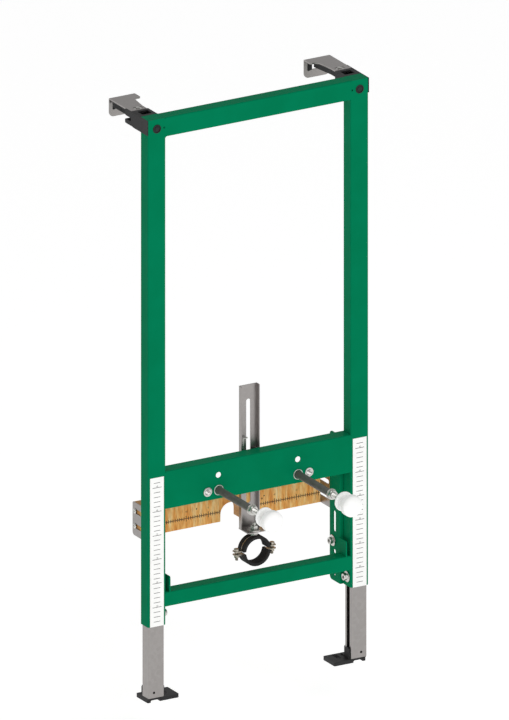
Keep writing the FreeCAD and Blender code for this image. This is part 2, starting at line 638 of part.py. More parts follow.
def bracket_holder():
    """Right holder: black housing behind the post, with a skin over the post's side."""
    low = TOP_Z - HOLDER_H
    inner = IN + HOLDER_IN
    housing = box(inner, HALF, POST_D, HOLDER_BACK, low, TOP_Z)
    housing = round_edges(housing, X, HOLDER_CHAMFER,
                          lambda p: p.y > HOLDER_BACK - 1 and p.z < low + 1)
    clear = HOLDER_CLEAR
    pocket = box(HALF - BRACKET_W - clear, HALF, POST_D + HOLDER_FRONT_T, HOLDER_BACK + PAST,
                 SLIDE_Z, SLIDE_Z + SLIDE_H + clear)
    window = box(HALF - WINDOW_OUT - WINDOW_W, HALF - WINDOW_OUT, WINDOW_FRONT, WINDOW_BACK,
                 SLIDE_Z + SLIDE_H, TOP_Z + PAST)
    housing = housing.cut(pocket).cut(round_edges(window, Z, WINDOW_R))
    skin = box(HALF, HALF + HOLDER_CAP_T, 0, HOLDER_BACK, low, TOP_Z)
    skin = round_edges(skin, X, HOLDER_CHAMFER,
                       lambda p: p.y > HOLDER_BACK - 1 and p.z < low + 1)
    ear = box(HALF, HALF + HOLDER_CAP_T, HOLDER_BACK - PAST, HOLDER_EAR_BACK,
              TOP_Z - HOLDER_EAR_H, TOP_Z)
    ear = round_edges(ear, X, LATCH_END_R, lambda p: p.y > HOLDER_EAR_BACK - 1)
    skin = skin.fuse(ear)
    latch = box(HALF - LATCH_W, HALF, HOLDER_BACK - HOLDER_CHAMFER, HOLDER_BACK + LATCH_L, low,
                low + LATCH_T)
    latch = round_edges(latch, X, LATCH_END_R, lambda p: p.y > HOLDER_BACK + LATCH_L - 1)
    return housing.fuse(skin).fuse(latch).removeSplitter()


def corner_plug():
    """Right plug: low domed button on the post's front, with its peg in the hole."""
    at = Vector(HALF - PLUG_IN, 0, TOP_Z - PLUG_IN)
    button = rod(at, -Y, PLUG_R, PLUG_OUT)
    rim = [e for e in button.Edges if e.Curve.TypeId == "Part::GeomCircle"
           and e.Curve.Center.y < -PLUG_OUT / 2]
    button = button.makeFillet(PLUG_EDGE_R, rim)
    peg = rod(at, Y, PLUG_R - PLUG_HOLE_IN - PLUG_PEG_CLEAR, TUBE_WALL)
    return button.fuse(peg).removeSplitter()


def ruler_strip():
    """Right measuring strip on the front of the post."""
    mid = HALF - POST_W / 2
    return box(mid - STRIP_W / 2, mid + STRIP_W / 2, -STRIP_T, 0, FOOT_Z, FOOT_Z + STRIP_L)


def tap_board():
    """Plywood board between the side brackets, with an arch for the waste pipe."""
    half = WEB_X
    board = box(-half, half, BOARD_FRONT, BOARD_FRONT + BOARD_T, BOARD_Z, BOARD_Z + BOARD_H)
    rise = ARCH_TOP - ARCH_W / 2
    arch = slot(Vector(0, BOARD_FRONT + BOARD_T / 2, BOARD_Z), Y, Z, ARCH_W,
                2 * rise + ARCH_W, BOARD_T + 2 * PAST)
    return board.cut(arch)


def board_bracket():
    """Right board bracket: plate on the rail's web, with two slots for the board screws."""
    front = POST_D + BOARD_BRACKET_FRONT
    back = BOARD_FRONT + BOARD_T
    low, high = BOARD_Z, BOARD_Z + BOARD_H + BOARD_BRACKET_OVER
    plate = box(WEB_X, WEB_X + BOARD_BRACKET_T, front, back, low, high)
    plate = round_edges(plate, X, BOARD_BRACKET_CUT, lambda p: p.y > back - 1 and p.z < low + 1)
    plate = round_edges(plate, X, BOARD_BRACKET_R,
                        lambda p: p.y > back - 1 and p.z > high - 1)
    mid = back - BOARD_T / 2 - BOARD_SLOT_FRONT
    for level in board_screw_levels():
        at = Vector(WEB_X + BOARD_BRACKET_T / 2, mid, level)
        plate = plate.cut(slot(at, X, Y, BOARD_SLOT_W, BOARD_SLOT_L, BOARD_BRACKET_T + 2 * PAST))
    return plate


def board_screw_levels():
    """Heights of the two board screws on each side."""
    mid = BOARD_Z + BOARD_H / 2 + BOARD_SLOT_RISE
    return [mid - BOARD_SLOT_GAP / 2, mid + BOARD_SLOT_GAP / 2]


def board_screws():
    """Right board screws: pan heads over the slots, shanks in the end of the board."""
    screws = []
    for level in board_screw_levels():
        seat = Vector(WEB_X + BOARD_BRACKET_T, BOARD_FRONT + BOARD_T / 2 + BOARD_SCREW_BEHIND,
                      level)
        head = rod(seat, X, BOARD_SCREW_HEAD_R, BOARD_SCREW_HEAD_H)
        rim = [e for e in head.Edges if e.Curve.TypeId == "Part::GeomCircle"
               and e.Curve.Center.x > seat.x + 1]
        head = head.makeFillet(HEAD_EDGE_R, rim)
        screws.append(head.fuse(rod(seat, -X, BOARD_SCREW_R, BOARD_BRACKET_T)).removeSplitter())
    return Part.makeCompound(screws)


def stud():
    """Right stud: plain rod through the panel, with its nut behind."""
    at = Vector(STUD_SPACING / 2, STUD_BACK, STUD_Z)
    shaft = rod(at, -Y, STUD_R, STUD_BACK + STUD_FRONT)
    nut = hex_nut(Vector(at.x, PANEL_T, at.z), Y, NUT_AF, NUT_H, STUD_R - THREAD_DEPTH)
    return shaft.fuse(nut).removeSplitter()


def stud_sleeve():
    """Right sleeve: tube over the stud, from behind the panel's face to the front nut."""
    at = Vector(STUD_SPACING / 2, 0, STUD_Z)
    body = rod(at, -Y, SLEEVE_R, SLEEVE_L)
    body = body.fuse(rod(at, Y, SLEEVE_R, PANEL_T))
    return body.cut(rod(at + Y * PANEL_T, -Y, STUD_R + SLEEVE_CLEAR, SLEEVE_L + PANEL_T))


def stud_nut():
    """Right front nut with its washer, against the end of the sleeve."""
    at = Vector(STUD_SPACING / 2, -SLEEVE_L, STUD_Z)
    washer = rod(at, -Y, WASHER_R, WASHER_T).cut(rod(at, -Y, STUD_R + TOUCH, WASHER_T))
    nut = hex_nut(at - Y * WASHER_T, -Y, NUT_AF, NUT_H, STUD_R + TOUCH)
    return washer.fuse(nut).removeSplitter()


def stud_disc():
    """Right disc: white plastic washer with a short neck behind."""
    at = Vector(STUD_SPACING / 2, -DISC_FRONT, STUD_Z)
    disc = rod(at, Y, DISC_R, DISC_T)
    rims = [e for e in disc.Edges if e.Curve.TypeId == "Part::GeomCircle"]
    disc = disc.makeFillet(DISC_EDGE_R, rims)
    neck = rod(at + Y * DISC_T, Y, DISC_NECK_R, DISC_NECK_L)
    bore = rod(at, Y, STUD_R + TOUCH, DISC_T + DISC_NECK_L)
    return disc.fuse(neck).cut(bore).removeSplitter()


def stud_cap():
    """Right cap: cone behind, a straight side and a domed front, bored for the stud."""
    at = Vector(STUD_SPACING / 2, -CAP_BACK, STUD_Z)
    cone = Part.makeCone(CAP_R - CAP_TAPER, CAP_R, CAP_RIM, at, -Y)
    side = rod(at - Y * CAP_RIM, -Y, CAP_R, CAP_SIDE)
    ball_r = (CAP_R ** 2 + CAP_DOME ** 2) / (2 * CAP_DOME)
    flat = ball_r - CAP_DOME
    centre = at - Y * (CAP_RIM + CAP_SIDE - flat)
    dome = Part.makeSphere(ball_r, centre, -Y, math.degrees(math.asin(flat / ball_r)), 90, 360)
    bore = rod(at, -Y, STUD_R + TOUCH, STUD_FRONT - CAP_BACK + CAP_BORE_OVER)
    return cone.fuse(side).fuse(dome).cut(bore).removeSplitter()


def insert_nut():
    """Right insert: flanged rivet nut in the panel."""
    at = Vector(INSERT_SPACING / 2, 0, STUD_Z)
    body = rod(at, Y, INSERT_R, INSERT_L).fuse(rod(at, -Y, INSERT_FLANGE_R, INSERT_FLANGE_T))
    bulge = rod(at + Y * PANEL_T, Y, INSERT_R + INSERT_BULGE, INSERT_BULGE_L)
    drill = rod(at - Y * (INSERT_FLANGE_T + PAST), Y, INSERT_BORE_R,
                INSERT_L + INSERT_FLANGE_T + 2 * PAST)
    return body.fuse(bulge).cut(drill).removeSplitter()


def carrier_guide():
    """Channel behind the panel that guides the waste carrier, with a bent catch above."""
    half = CARRIER_W / 2 - CARRIER_T - GUIDE_CLEAR
    web_back, rear = POST_D + GUIDE_OUT, CARRIER_WEB - GUIDE_CLEAR
    low, high = PANEL_Z, PANEL_TOP - GUIDE_DROP
    body = box(-half, half, web_back - GUIDE_T, web_back, low, high)
    body = body.cut(slot(Vector(0, web_back - GUIDE_T / 2, high), Y, Z, CARRIER_SLOT_W,
                         2 * GUIDE_SLOT_DEEP, GUIDE_T + 2 * PAST))
    crest = PANEL_TOP + CATCH_RISE
    body = body.fuse(box(half - GUIDE_T, half, POST_D, rear, low, high))
    body = body.fuse(box(-half, -half + GUIDE_T, POST_D, rear, low, high))
    arm = box(-half, -half + GUIDE_T, POST_D, POST_D + CATCH_D, high - PAST, crest)
    catch = box(-half, -half + CATCH_L, POST_D, POST_D + CATCH_D, crest - GUIDE_T, crest)
    return body.fuse(arm).fuse(catch).removeSplitter()


def carrier_bolt():
    """Bolt that locks the carrier in the guide: flat head in front, nut behind."""
    z = PANEL_TOP - CARRIER_BOLT_DROP
    seat = POST_D + GUIDE_OUT - GUIDE_T
    rear = CARRIER_WEB + CARRIER_T + CARRIER_NUT_CLEAR
    nut_y = rear + CARRIER_WASHER_T
    head = rod(Vector(0, seat, z), -Y, CARRIER_HEAD_R, CARRIER_HEAD_T)
    shank = rod(Vector(0, seat, z), Y, SCREW_R, nut_y + SCREW_NUT_H + SCREW_END - seat)
    washer = rod(Vector(0, rear, z), Y, CARRIER_WASHER_R, CARRIER_WASHER_T)
    nut = hexagon(Vector(0, nut_y, z), Y, SCREW_NUT_AF, SCREW_NUT_H)
    return head.fuse(shank).fuse(washer).fuse(nut).removeSplitter()


def waste_carrier():
    """Slotted channel that slides behind the panel, its lower end bent to a shelf."""
    half = CARRIER_W / 2
    low, high = CARRIER_Z, CARRIER_Z + CARRIER_L
    back = CARRIER_WEB + CARRIER_T
    t = CARRIER_T
    channel = profile([Vector(-half, CARRIER_Y, low), Vector(-half, back, low),
                       Vector(half, back, low), Vector(half, CARRIER_Y, low),
                       Vector(half - t, CARRIER_Y, low), Vector(half - t, CARRIER_WEB, low),
                       Vector(-half + t, CARRIER_WEB, low), Vector(-half + t, CARRIER_Y, low)],
                      Z * CARRIER_L)
    channel = round_edges(channel, Z, CARRIER_BEND_R, lambda p: p.y > back - 0.1)
    crown = round_edges(box(-half, half, CARRIER_Y - PAST, back + PAST, low - PAST, high), Y,
                        CARRIER_CORNER_R, lambda p: p.z > high - 1)
    channel = channel.common(crown)
    end = CARRIER_WEB - SHELF_D
    shelf = round_edges(box(-half, half, end, back, low, low + t), Z, SHELF_CORNER_R,
                        lambda p: p.y < end + 1)
    shelf = shelf.cut(rod(Vector(0, CLAMP_Y, low - PAST), Z, HANGER_R + HANGER_CLEAR,
                          t + 2 * PAST))
    body = channel.fuse(shelf)
    top = high - CARRIER_SLOT_DROP
    cut = slot(Vector(0, back - t / 2, top - CARRIER_SLOT_L / 2), Y, Z, CARRIER_SLOT_W,
               CARRIER_SLOT_L, t + 2 * PAST)
    return body.cut(cut).removeSplitter()


def clamp_hanger():
    """Stud through the shelf, with a washer and nut above and a hexagon boss below."""
    top = CARRIER_Z + CARRIER_T
    at = Vector(0, CLAMP_Y, CLAMP_Z + BAND_R)
    boss = hexagon(at, Z, BOSS_AF, CARRIER_Z - at.z)
    washer = rod(Vector(0, CLAMP_Y, top), Z, HANGER_WASHER_R, HANGER_WASHER_T)
    nut_z = top + HANGER_WASHER_T
    nut = hexagon(Vector(0, CLAMP_Y, nut_z), Z, BOSS_AF, HANGER_NUT_H)
    stem = rod(at, Z, HANGER_R, nut_z + HANGER_NUT_H + HANGER_TOP - at.z)
    return boss.fuse(washer).fuse(nut).fuse(stem).removeSplitter()


def clamp_half(upper):
    """One half of the steel band, a half ring with an ear at each end."""
    start = Vector(0, CLAMP_Y - BAND_W / 2, CLAMP_Z)
    ring = rod(start, Y, BAND_R, BAND_W)
    ring = ring.cut(rod(start, Y, BAND_R - BAND_T, BAND_W))
    sign = 1 if upper else -1
    gap = EAR_GAP / 2
    wide = BAND_R + PAST
    z0, z1 = sorted((CLAMP_Z + sign * gap, CLAMP_Z + sign * wide))
    body = ring.common(box(-wide, wide, start.y - PAST, start.y + BAND_W + PAST, z0, z1))
    for side in (-1, 1):
        near, far = side * (BAND_R - BAND_T / 2), side * EAR_OUT
        e0, e1 = sorted((CLAMP_Z + sign * gap, CLAMP_Z + sign * (gap + BAND_T)))
        ear = box(min(near, far), max(near, far), CLAMP_Y - EAR_W / 2, CLAMP_Y + EAR_W / 2, e0, e1)
        ear = round_edges(ear, Z, EAR_CORNER_R, lambda p: abs(p.x) > EAR_OUT - 1)
        ear = ear.cut(rod(Vector(side * EAR_BOLT_OUT, CLAMP_Y, e0 - PAST), Z,
                          EAR_BOLT_R + EAR_BOLT_CLEAR, BAND_T + 2 * PAST))
        body = body.fuse(ear)
    return body.removeSplitter()


def clamp_rubber():
    """Rubber lining in two halves, its edges turned over the band's."""
    inner, seat, lip = PIPE_R, PIPE_R + RUBBER_T, BAND_R + RUBBER_LIP
    edge, band, over = RUBBER_W / 2, BAND_W / 2, BAND_W / 2 - RUBBER_LIP_IN
    half = [(edge, inner), (edge, lip), (over, lip), (over, BAND_R), (band, BAND_R),
            (band, seat)]
    section = half + [(-y, r) for y, r in reversed(half)]
    points = [Vector(r, CLAMP_Y + y, CLAMP_Z) for y, r in section]
    face = Part.Face(Part.makePolygon(points + [points[0]]))
    ring = face.revolve(Vector(0, 0, CLAMP_Z), Y, 360)
    wide, gap = lip + PAST, EAR_GAP / 2
    ring = ring.cut(box(-wide, wide, CLAMP_Y - RUBBER_W, CLAMP_Y + RUBBER_W,
                        CLAMP_Z - gap, CLAMP_Z + gap))
    return Part.makeCompound(ring.Solids)


def clamp_bolts():
    """Two bolts that close the band, each with a pan head above and a nut below."""
    bolts = []
    top = CLAMP_Z + EAR_GAP / 2 + BAND_T
    bottom = CLAMP_Z - EAR_GAP / 2 - BAND_T
    for side in (-1, 1):
        at = Vector(side * EAR_BOLT_OUT, CLAMP_Y, top)
        head = rod(at, Z, EAR_HEAD_R, EAR_HEAD_H)
        rim = [e for e in head.Edges if e.Curve.TypeId == "Part::GeomCircle"
               and e.Curve.Center.z > top + 1]
        head = head.makeFillet(HEAD_EDGE_R, rim)
        crest = top + EAR_HEAD_H
        head = head.cut(box(at.x - EAR_HEAD_R, at.x + EAR_HEAD_R, at.y - EAR_SLIT_W / 2,
                            at.y + EAR_SLIT_W / 2, crest - EAR_SLIT_DEEP, crest + PAST))
        shank = rod(at, -Z, EAR_BOLT_R, EAR_BOLT_L)
        nut = hexagon(Vector(at.x, at.y, bottom), -Z, EAR_NUT_AF, EAR_NUT_H)
        bolts.append(head.fuse(shank).fuse(nut).removeSplitter())
    return Part.makeCompound(bolts)


MIRRORED = {"post": post, "side_rail": side_rail, "leg": leg, "foot": foot,
            "wall_bracket": wall_bracket, "bracket_slide": bracket_slide,
            "bracket_holder": bracket_holder, "board_bracket": board_bracket, "stud": stud,
            "stud_sleeve": stud_sleeve, "stud_nut": stud_nut, "stud_disc": stud_disc,
            "stud_cap": stud_cap}
BOTH_SIDES = {"leg_screws": leg_screw, "rail_screws": rail_screw, "bracket_pins": bracket_pin,
              "corner_plugs": corner_plug, "ruler_strips": ruler_strip,
              "board_screws": board_screws, "insert_nuts": insert_nut}
SINGLES = {"top_bar": top_bar, "bottom_bar": bottom_bar,
           "front_panel": front_panel, "tap_board": tap_board, "carrier_guide": carrier_guide,
           "carrier_bolt": carrier_bolt, "waste_carrier": waste_carrier,
           "clamp_hanger": clamp_hanger, "clamp_rubber": clamp_rubber,
           "clamp_bolts": clamp_bolts}


def write(name, shape):
    """Move a piece to the part's origin and write it to its own file."""
    shape = shape.copy()
    shape.translate(-ORIGIN)
    shape.exportStep("parts/" + name + ".step")


os.makedirs("parts", exist_ok=True)
for name, make in MIRRORED.items():
    right = make()
    write("right_" + name, right)
    write("left_" + name, mirrored(right))
for name, make in BOTH_SIDES.items():
    right = make()
    write(name, Part.makeCompound(right.Solids + mirrored(right).Solids))
for name, make in SINGLES.items():
    write(name, make())
write("clamp_upper", clamp_half(True))
write("clamp_lower", clamp_half(False))
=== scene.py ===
"""Looks of a wall mounting frame for a bidet: finishes, printed scales, threads and fine detail."""
import json
import logging
import math
from collections.abc import Iterator
from contextlib import contextmanager
from dataclasses import dataclass
from enum import Enum

import bmesh
import bpy
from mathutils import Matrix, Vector


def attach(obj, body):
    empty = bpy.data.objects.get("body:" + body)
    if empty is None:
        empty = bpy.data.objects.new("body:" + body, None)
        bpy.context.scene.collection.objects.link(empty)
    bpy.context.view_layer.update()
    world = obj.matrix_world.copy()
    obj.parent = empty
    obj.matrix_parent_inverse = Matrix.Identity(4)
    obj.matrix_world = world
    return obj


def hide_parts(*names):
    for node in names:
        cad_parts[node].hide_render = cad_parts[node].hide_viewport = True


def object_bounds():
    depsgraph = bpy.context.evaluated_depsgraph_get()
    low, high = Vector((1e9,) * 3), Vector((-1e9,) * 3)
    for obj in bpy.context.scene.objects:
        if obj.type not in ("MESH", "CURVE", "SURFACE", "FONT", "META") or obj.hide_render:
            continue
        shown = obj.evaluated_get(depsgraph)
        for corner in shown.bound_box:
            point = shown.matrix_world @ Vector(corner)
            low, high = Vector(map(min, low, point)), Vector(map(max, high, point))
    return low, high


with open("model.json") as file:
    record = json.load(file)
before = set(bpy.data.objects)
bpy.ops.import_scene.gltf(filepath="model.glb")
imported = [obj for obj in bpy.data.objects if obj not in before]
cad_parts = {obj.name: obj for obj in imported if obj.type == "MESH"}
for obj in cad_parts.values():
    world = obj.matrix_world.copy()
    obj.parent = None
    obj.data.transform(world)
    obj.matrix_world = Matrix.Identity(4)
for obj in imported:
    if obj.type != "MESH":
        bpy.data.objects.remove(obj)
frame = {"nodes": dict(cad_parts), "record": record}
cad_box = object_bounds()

LOG = logging.getLogger("frame")
MM = 0.001
NODES = frame["nodes"]

Colour = tuple[float, float, float, float]


def linear(code: str) -> Colour:
    """Turn an sRGB hex colour into linear values.

    Args:
        code: Six hex digits.

    Returns:
        Red, green, blue and an alpha of one.
    """
    channels = []
    for i in (0, 2, 4):
        value = int(code[i:i + 2], 16) / 255
        channels.append(value / 12.92 if value <= 0.04045 else ((value + 0.055) / 1.055) ** 2.4)
    return (channels[0], channels[1], channels[2], 1.0)


def add_node(tree: bpy.types.NodeTree, kind: str, inputs: dict | None = None,
             **settings) -> bpy.types.Node:
    """Add one node with its settings, values and links.

    Args:
        tree: The material's or world's node tree.
        kind: Type name of the node, without its ShaderNode prefix.
        inputs: Socket name or number to a value, or to an output socket to link from.
        **settings: Properties of the node itself.

    Returns:
        The new node.
    """
    node = tree.nodes.new("ShaderNode" + kind)
    for name, value in settings.items():
        setattr(node, name, value)
    for key, value in (inputs or {}).items():
        if isinstance(value, bpy.types.NodeSocket):
            tree.links.new(value, node.inputs[key])
        else:
            node.inputs[key].default_value = value
    return node


def new_material(name: str) -> tuple[bpy.types.Material, bpy.types.NodeTree]:
    """Make an empty node material.

    Args:
        name: The finish's plain name.

    Returns:
        The material and its emptied node tree.
    """
    material = bpy.data.materials.new(name)
    material.use_nodes = True
    material.node_tree.nodes.clear()
    return material, material.node_tree


def per_metre(size_mm: float) -> float:
    """Scale of a texture whose features are this many millimetres across."""
    return 1.0 / (size_mm * MM)


def ramp(tree: bpy.types.NodeTree, factor: bpy.types.NodeSocket,
         stops: list[tuple[float, str]]) -> bpy.types.NodeSocket:
    """Colour ramp between hex colours.

    Args:
        tree: Node tree to add to.
        factor: What drives the ramp.
        stops: Position and hex colour of each stop.

    Returns:
        The ramp's colour output.
    """
    node = add_node(tree, "ValToRGB", {0: factor})
    elements = node.color_ramp.elements
    while len(elements) < len(stops):
        elements.new(0.5)
    for element, (position, code) in zip(elements, stops):
        element.position = position
        element.color = linear(code)
    return node.outputs["Color"]


def spread(tree: bpy.types.NodeTree, factor: bpy.types.NodeSocket, low: float,
           high: float) -> bpy.types.NodeSocket:
    """Map a zero to one pattern to a range of values."""
    node = add_node(tree, "MapRange", {0: factor, 3: low, 4: high})
    return node.outputs[0]


@dataclass(frozen=True)
class Finish:
    """What all finishes share: a name, the record's slot and the shader's plain values."""

    name: str
    slot: str
    metallic: float = 0.0
    roughness: float = 0.5
    specular: float = 0.5

    def shader(self, tree: bpy.types.NodeTree, inputs: dict) -> None:
        """Add the surface shader and the output.

        Args:
            tree: The material's node tree.
            inputs: Values and links for the shader's sockets.
        """
        values = {"Metallic": self.metallic, "Roughness": self.roughness}
        if self.metallic == 0.0:
            values["Specular IOR Level"] = self.specular
        values.update(inputs)
        surface = add_node(tree, "BsdfPrincipled", values)
        add_node(tree, "OutputMaterial", {"Surface": surface.outputs[0]})

    def pattern(self, tree: bpy.types.NodeTree, size_mm: float, detail: float = 2.0,
                stretch: tuple[float, float, float] = (1.0, 1.0, 1.0)) -> bpy.types.NodeSocket:
        """Noise in the object's own metres.

        Args:
            tree: The material's node tree.
            size_mm: Width of one feature.
            detail: Octaves of finer noise.
            stretch: Scale along each axis, for grain and streaks.

        Returns:
            The noise's value output.
        """
        place = add_node(tree, "TexCoord")
        turn = add_node(tree, "Mapping", {0: place.outputs["Object"], 3: stretch})
        noise = add_node(tree, "TexNoise", {"Vector": turn.outputs[0], "Scale": per_metre(size_mm),
                                            "Detail": detail})
        return noise.outputs[0]

    def bump(self, tree: bpy.types.NodeTree, height: bpy.types.NodeSocket, depth_mm: float,
             strength: float = 1.0) -> bpy.types.NodeSocket:
        """Bump of a real depth.

        Args:
            tree: The material's node tree.
            height: Pattern that gives the height.
            depth_mm: Depth of the pattern from black to white.
            strength: Share of the effect.

        Returns:
            The normal output.
        """
        node = add_node(tree, "Bump", {"Height": height, "Distance": depth_mm * MM,
                                       "Strength": strength})
        return node.outputs[0]


@dataclass(frozen=True)
class PowderCoat(Finish):
    """Polyester powder coat on steel tube: even satin colour with a faint orange peel."""

    base: str = "007851"
    deep: str = "00744d"
    peel_mm: float = 2.0
    drift_mm: float = 60.0

    def material(self) -> bpy.types.Material:
        """Build the node material."""
        material, tree = new_material(self.name)
        drift = self.pattern(tree, self.drift_mm)
        peel = self.pattern(tree, self.peel_mm, 3.0)
        self.shader(tree, {
            "Base Color": ramp(tree, drift, [(0.35, self.deep), (0.65, self.base)]),
            "Roughness": spread(tree, drift, self.roughness - 0.04, self.roughness + 0.04),
            "Normal": self.bump(tree, peel, 0.03, 0.6)})
        return material


@dataclass(frozen=True)
class GalvanisedSheet(Finish):
    """Hot dip galvanised strip steel: dull grey metal with a faint spangle of zinc crystals."""

    base: str = "9d9997"
    deep: str = "979391"
    spangle_mm: float = 7.0

    def material(self) -> bpy.types.Material:
        """Build the node material."""
        material, tree = new_material(self.name)
        place = add_node(tree, "TexCoord")
        crystals = add_node(tree, "TexVoronoi", {"Vector": place.outputs["Object"],
                                                 "Scale": per_metre(self.spangle_mm)})
        grey = add_node(tree, "RGBToBW", {0: crystals.outputs["Color"]}).outputs[0]
        frost = self.pattern(tree, 1.2, 3.0)
        both = add_node(tree, "Math", {0: grey, 1: frost}, operation="MULTIPLY").outputs[0]
        self.shader(tree, {
            "Base Color": ramp(tree, grey, [(0.2, self.deep), (0.8, self.base)]),
            "Roughness": spread(tree, grey, self.roughness - 0.04, self.roughness + 0.04),
            "Normal": self.bump(tree, both, 0.01, 0.25)})
        return material


@dataclass(frozen=True)
class ZincPlate(Finish):
    """Bright electroplated zinc with a clear passivation: pale, sharp highlights."""

    base: str = "d6d5d1"
    deep: str = "b2b1ad"

    def material(self) -> bpy.types.Material:
        """Build the node material."""
        material, tree = new_material(self.name)
        stain = self.pattern(tree, 5.0, 3.0)
        scratch = self.pattern(tree, 0.8, 2.0)
        self.shader(tree, {
            "Base Color": ramp(tree, stain, [(0.3, self.deep), (0.65, self.base)]),
            "Roughness": spread(tree, stain, self.roughness - 0.05, self.roughness + 0.1),
            "Normal": self.bump(tree, scratch, 0.01, 0.5)})
        return material


@dataclass(frozen=True)
class Moulded(Finish):
    """Injection moulded plastic: spark eroded grain and a faint flow pattern."""

    base: str = "242425"
    deep: str = "1c1c1d"
    grain_mm: float = 0.9
    grain_depth_mm: float = 0.05

    def material(self) -> bpy.types.Material:
        """Build the node material."""
        material, tree = new_material(self.name)
        flow = self.pattern(tree, 18.0, 2.0)
        grain = self.pattern(tree, self.grain_mm, 2.0)
        self.shader(tree, {
            "Base Color": ramp(tree, flow, [(0.35, self.deep), (0.65, self.base)]),
            "Roughness": spread(tree, grain, self.roughness - 0.06, self.roughness + 0.06),
            "Normal": self.bump(tree, grain, self.grain_depth_mm, 0.6)})
        return material


@dataclass(frozen=True)
class Plywood(Finish):
    """Varnished birch plywood: long grain on the faces, thin dark and light plies on edges."""

    base: str = "ffc474"
    deep: str = "f09f4c"
    pale: str = "ffe0a4"
    knot: str = "5a3a1c"
    ply_light: str = "d9a463"
    ply_dark: str = "9a6a38"
    ply_mm: float = 2.0
    grain_mm: float = 7.0
    knot_mm: float = 38.0

    def faces(self, tree: bpy.types.NodeTree, broad: bpy.types.NodeSocket,
              fine: bpy.types.NodeSocket) -> bpy.types.NodeSocket:
        """Colour of the rotary cut faces: upright grain, fine streaks and small knots."""
        face = ramp(tree, broad, [(0.34, self.deep), (0.52, self.base), (0.68, self.pale)])
        streak = ramp(tree, fine, [(0.38, "b06c26"), (0.52, "ffffff")])
        grain = add_node(tree, "MixRGB", {0: 0.4, 1: face, 2: streak},
                         blend_type="MULTIPLY").outputs[0]
        place = add_node(tree, "TexCoord").outputs["Object"]
        knots = add_node(tree, "TexVoronoi", {"Vector": place, "Scale": per_metre(self.knot_mm),
                                              "Randomness": 1.0}).outputs["Distance"]
        here = add_node(tree, "MapRange", {0: knots, 1: 0.035, 2: 0.075, 3: 0.85, 4: 0.0}).outputs[0]
        return add_node(tree, "MixRGB", {0: here, 1: grain, 2: linear(self.knot)}).outputs[0]

    def edges(self, tree: bpy.types.NodeTree) -> bpy.types.NodeSocket:
        """Colour of the sawn edges: light and dark plies from front to back."""
        place = add_node(tree, "TexCoord").outputs["Object"]
        depth = add_node(tree, "SeparateXYZ", {0: place}).outputs["Y"]
        wave = add_node(tree, "Math", {0: depth, 1: per_metre(self.ply_mm)},
                        operation="MULTIPLY").outputs[0]
        fold = add_node(tree, "Math", {0: wave, 1: 1.0}, operation="PINGPONG").outputs[0]
        return ramp(tree, fold, [(0.42, self.ply_light), (0.52, self.ply_dark)])

    def material(self) -> bpy.types.Material:
        """Build the node material."""
        material, tree = new_material(self.name)
        fine = self.pattern(tree, 1.4, 3.0, (1.0, 1.0, 0.08))
        broad = self.pattern(tree, self.grain_mm, 4.0, (1.0, 1.0, 0.14))
        normal = add_node(tree, "NewGeometry").outputs["Normal"]
        facing = add_node(tree, "SeparateXYZ", {0: normal}).outputs["Y"]
        size = add_node(tree, "Math", {0: facing}, operation="ABSOLUTE").outputs[0]
        on_face = add_node(tree, "Math", {0: size, 1: 0.7}, operation="GREATER_THAN").outputs[0]
        colour = add_node(tree, "MixRGB", {0: on_face, 1: self.edges(tree),
                                           2: self.faces(tree, broad, fine)}).outputs[0]
        self.shader(tree, {
            "Base Color": colour,
            "Roughness": spread(tree, broad, self.roughness - 0.05, self.roughness + 0.1),
            "Normal": self.bump(tree, fine, 0.05, 0.4)})
        return material


class Look(Enum):
    """Every finish on the object."""

    GREEN = PowderCoat("green polyester powder coat", "green_paint", roughness=0.38,
                       specular=0.01)
    GALVANISED = GalvanisedSheet("hot dip galvanised sheet", "galvanised", metallic=1.0,
                                 roughness=0.32)
    BAND = ZincPlate("yellow passivated zinc plate", "zinc_plate", metallic=1.0,
                     roughness=0.3, base="b7b1a5", deep="908a7e")
    ZINC = ZincPlate("bright zinc plate", "zinc_plate", metallic=1.0, roughness=0.25)
    BLACK = Moulded("black moulded nylon", "black_plastic", roughness=0.55, specular=0.28)
    WHITE = Moulded("white moulded polypropylene", "white_plastic", roughness=0.4,
                    base="fdfdfc", deep="f8f8f6", grain_depth_mm=0.01)
    WOOD = Plywood("varnished plywood", "plywood", roughness=0.45, specular=0.2)
    RUBBER = Moulded("extruded rubber", "epdm_rubber", roughness=0.75, base="1b1b1b",
                     deep="151515", specular=0.3)
    FILM = Moulded("printed polyester film", "strip_film", roughness=0.35, base="f8f8f6",
                   deep="f4f4f2", grain_depth_mm=0.004)
    SLEEVE = Moulded("extruded grey polyethylene", "grey_sleeve", roughness=0.5, base="5c5b57",
                     deep="53524e", grain_depth_mm=0.02)
    INK = Moulded("black screen print ink", "", roughness=0.5, base="3c3c3c", deep="333333",
                  grain_depth_mm=0.004)
    SCORCH = Moulded("burnt print on wood", "", roughness=0.6, base="241708", deep="1b1005",
                     grain_depth_mm=0.01)


MADE: dict[Look, bpy.types.Material] = {}


def material_of(look: Look) -> bpy.types.Material:
    """The finish's material, built the first time it is asked for."""
    if look not in MADE:
        MADE[look] = look.value.material()
    return MADE[look]


BY_SLOT = {look.value.slot: look for look in Look if look.value.slot}

# The frame's own middle, front face and floor, in the part's millimetres
ORIGIN = Vector((-221.0, 155.0, 1188.75))
SIDES = {"left": -1, "right": 1}
UP, FRONT = Vector((0, 0, 1)), Vector((0, -1, 0))
# How near points are one point, and how near a cut they lie on it, in metres
MERGE, CLOSE = 1e-6, 1e-8
# Area in square metres up to which a face folded over itself doesn't show
FOLD = 1e-7


def at(x: float, y: float, z: float) -> Vector:
    """Place in the frame's metres of a point given from the middle, the front and the floor."""
    return (Vector((x, y, z)) - ORIGIN) * MM


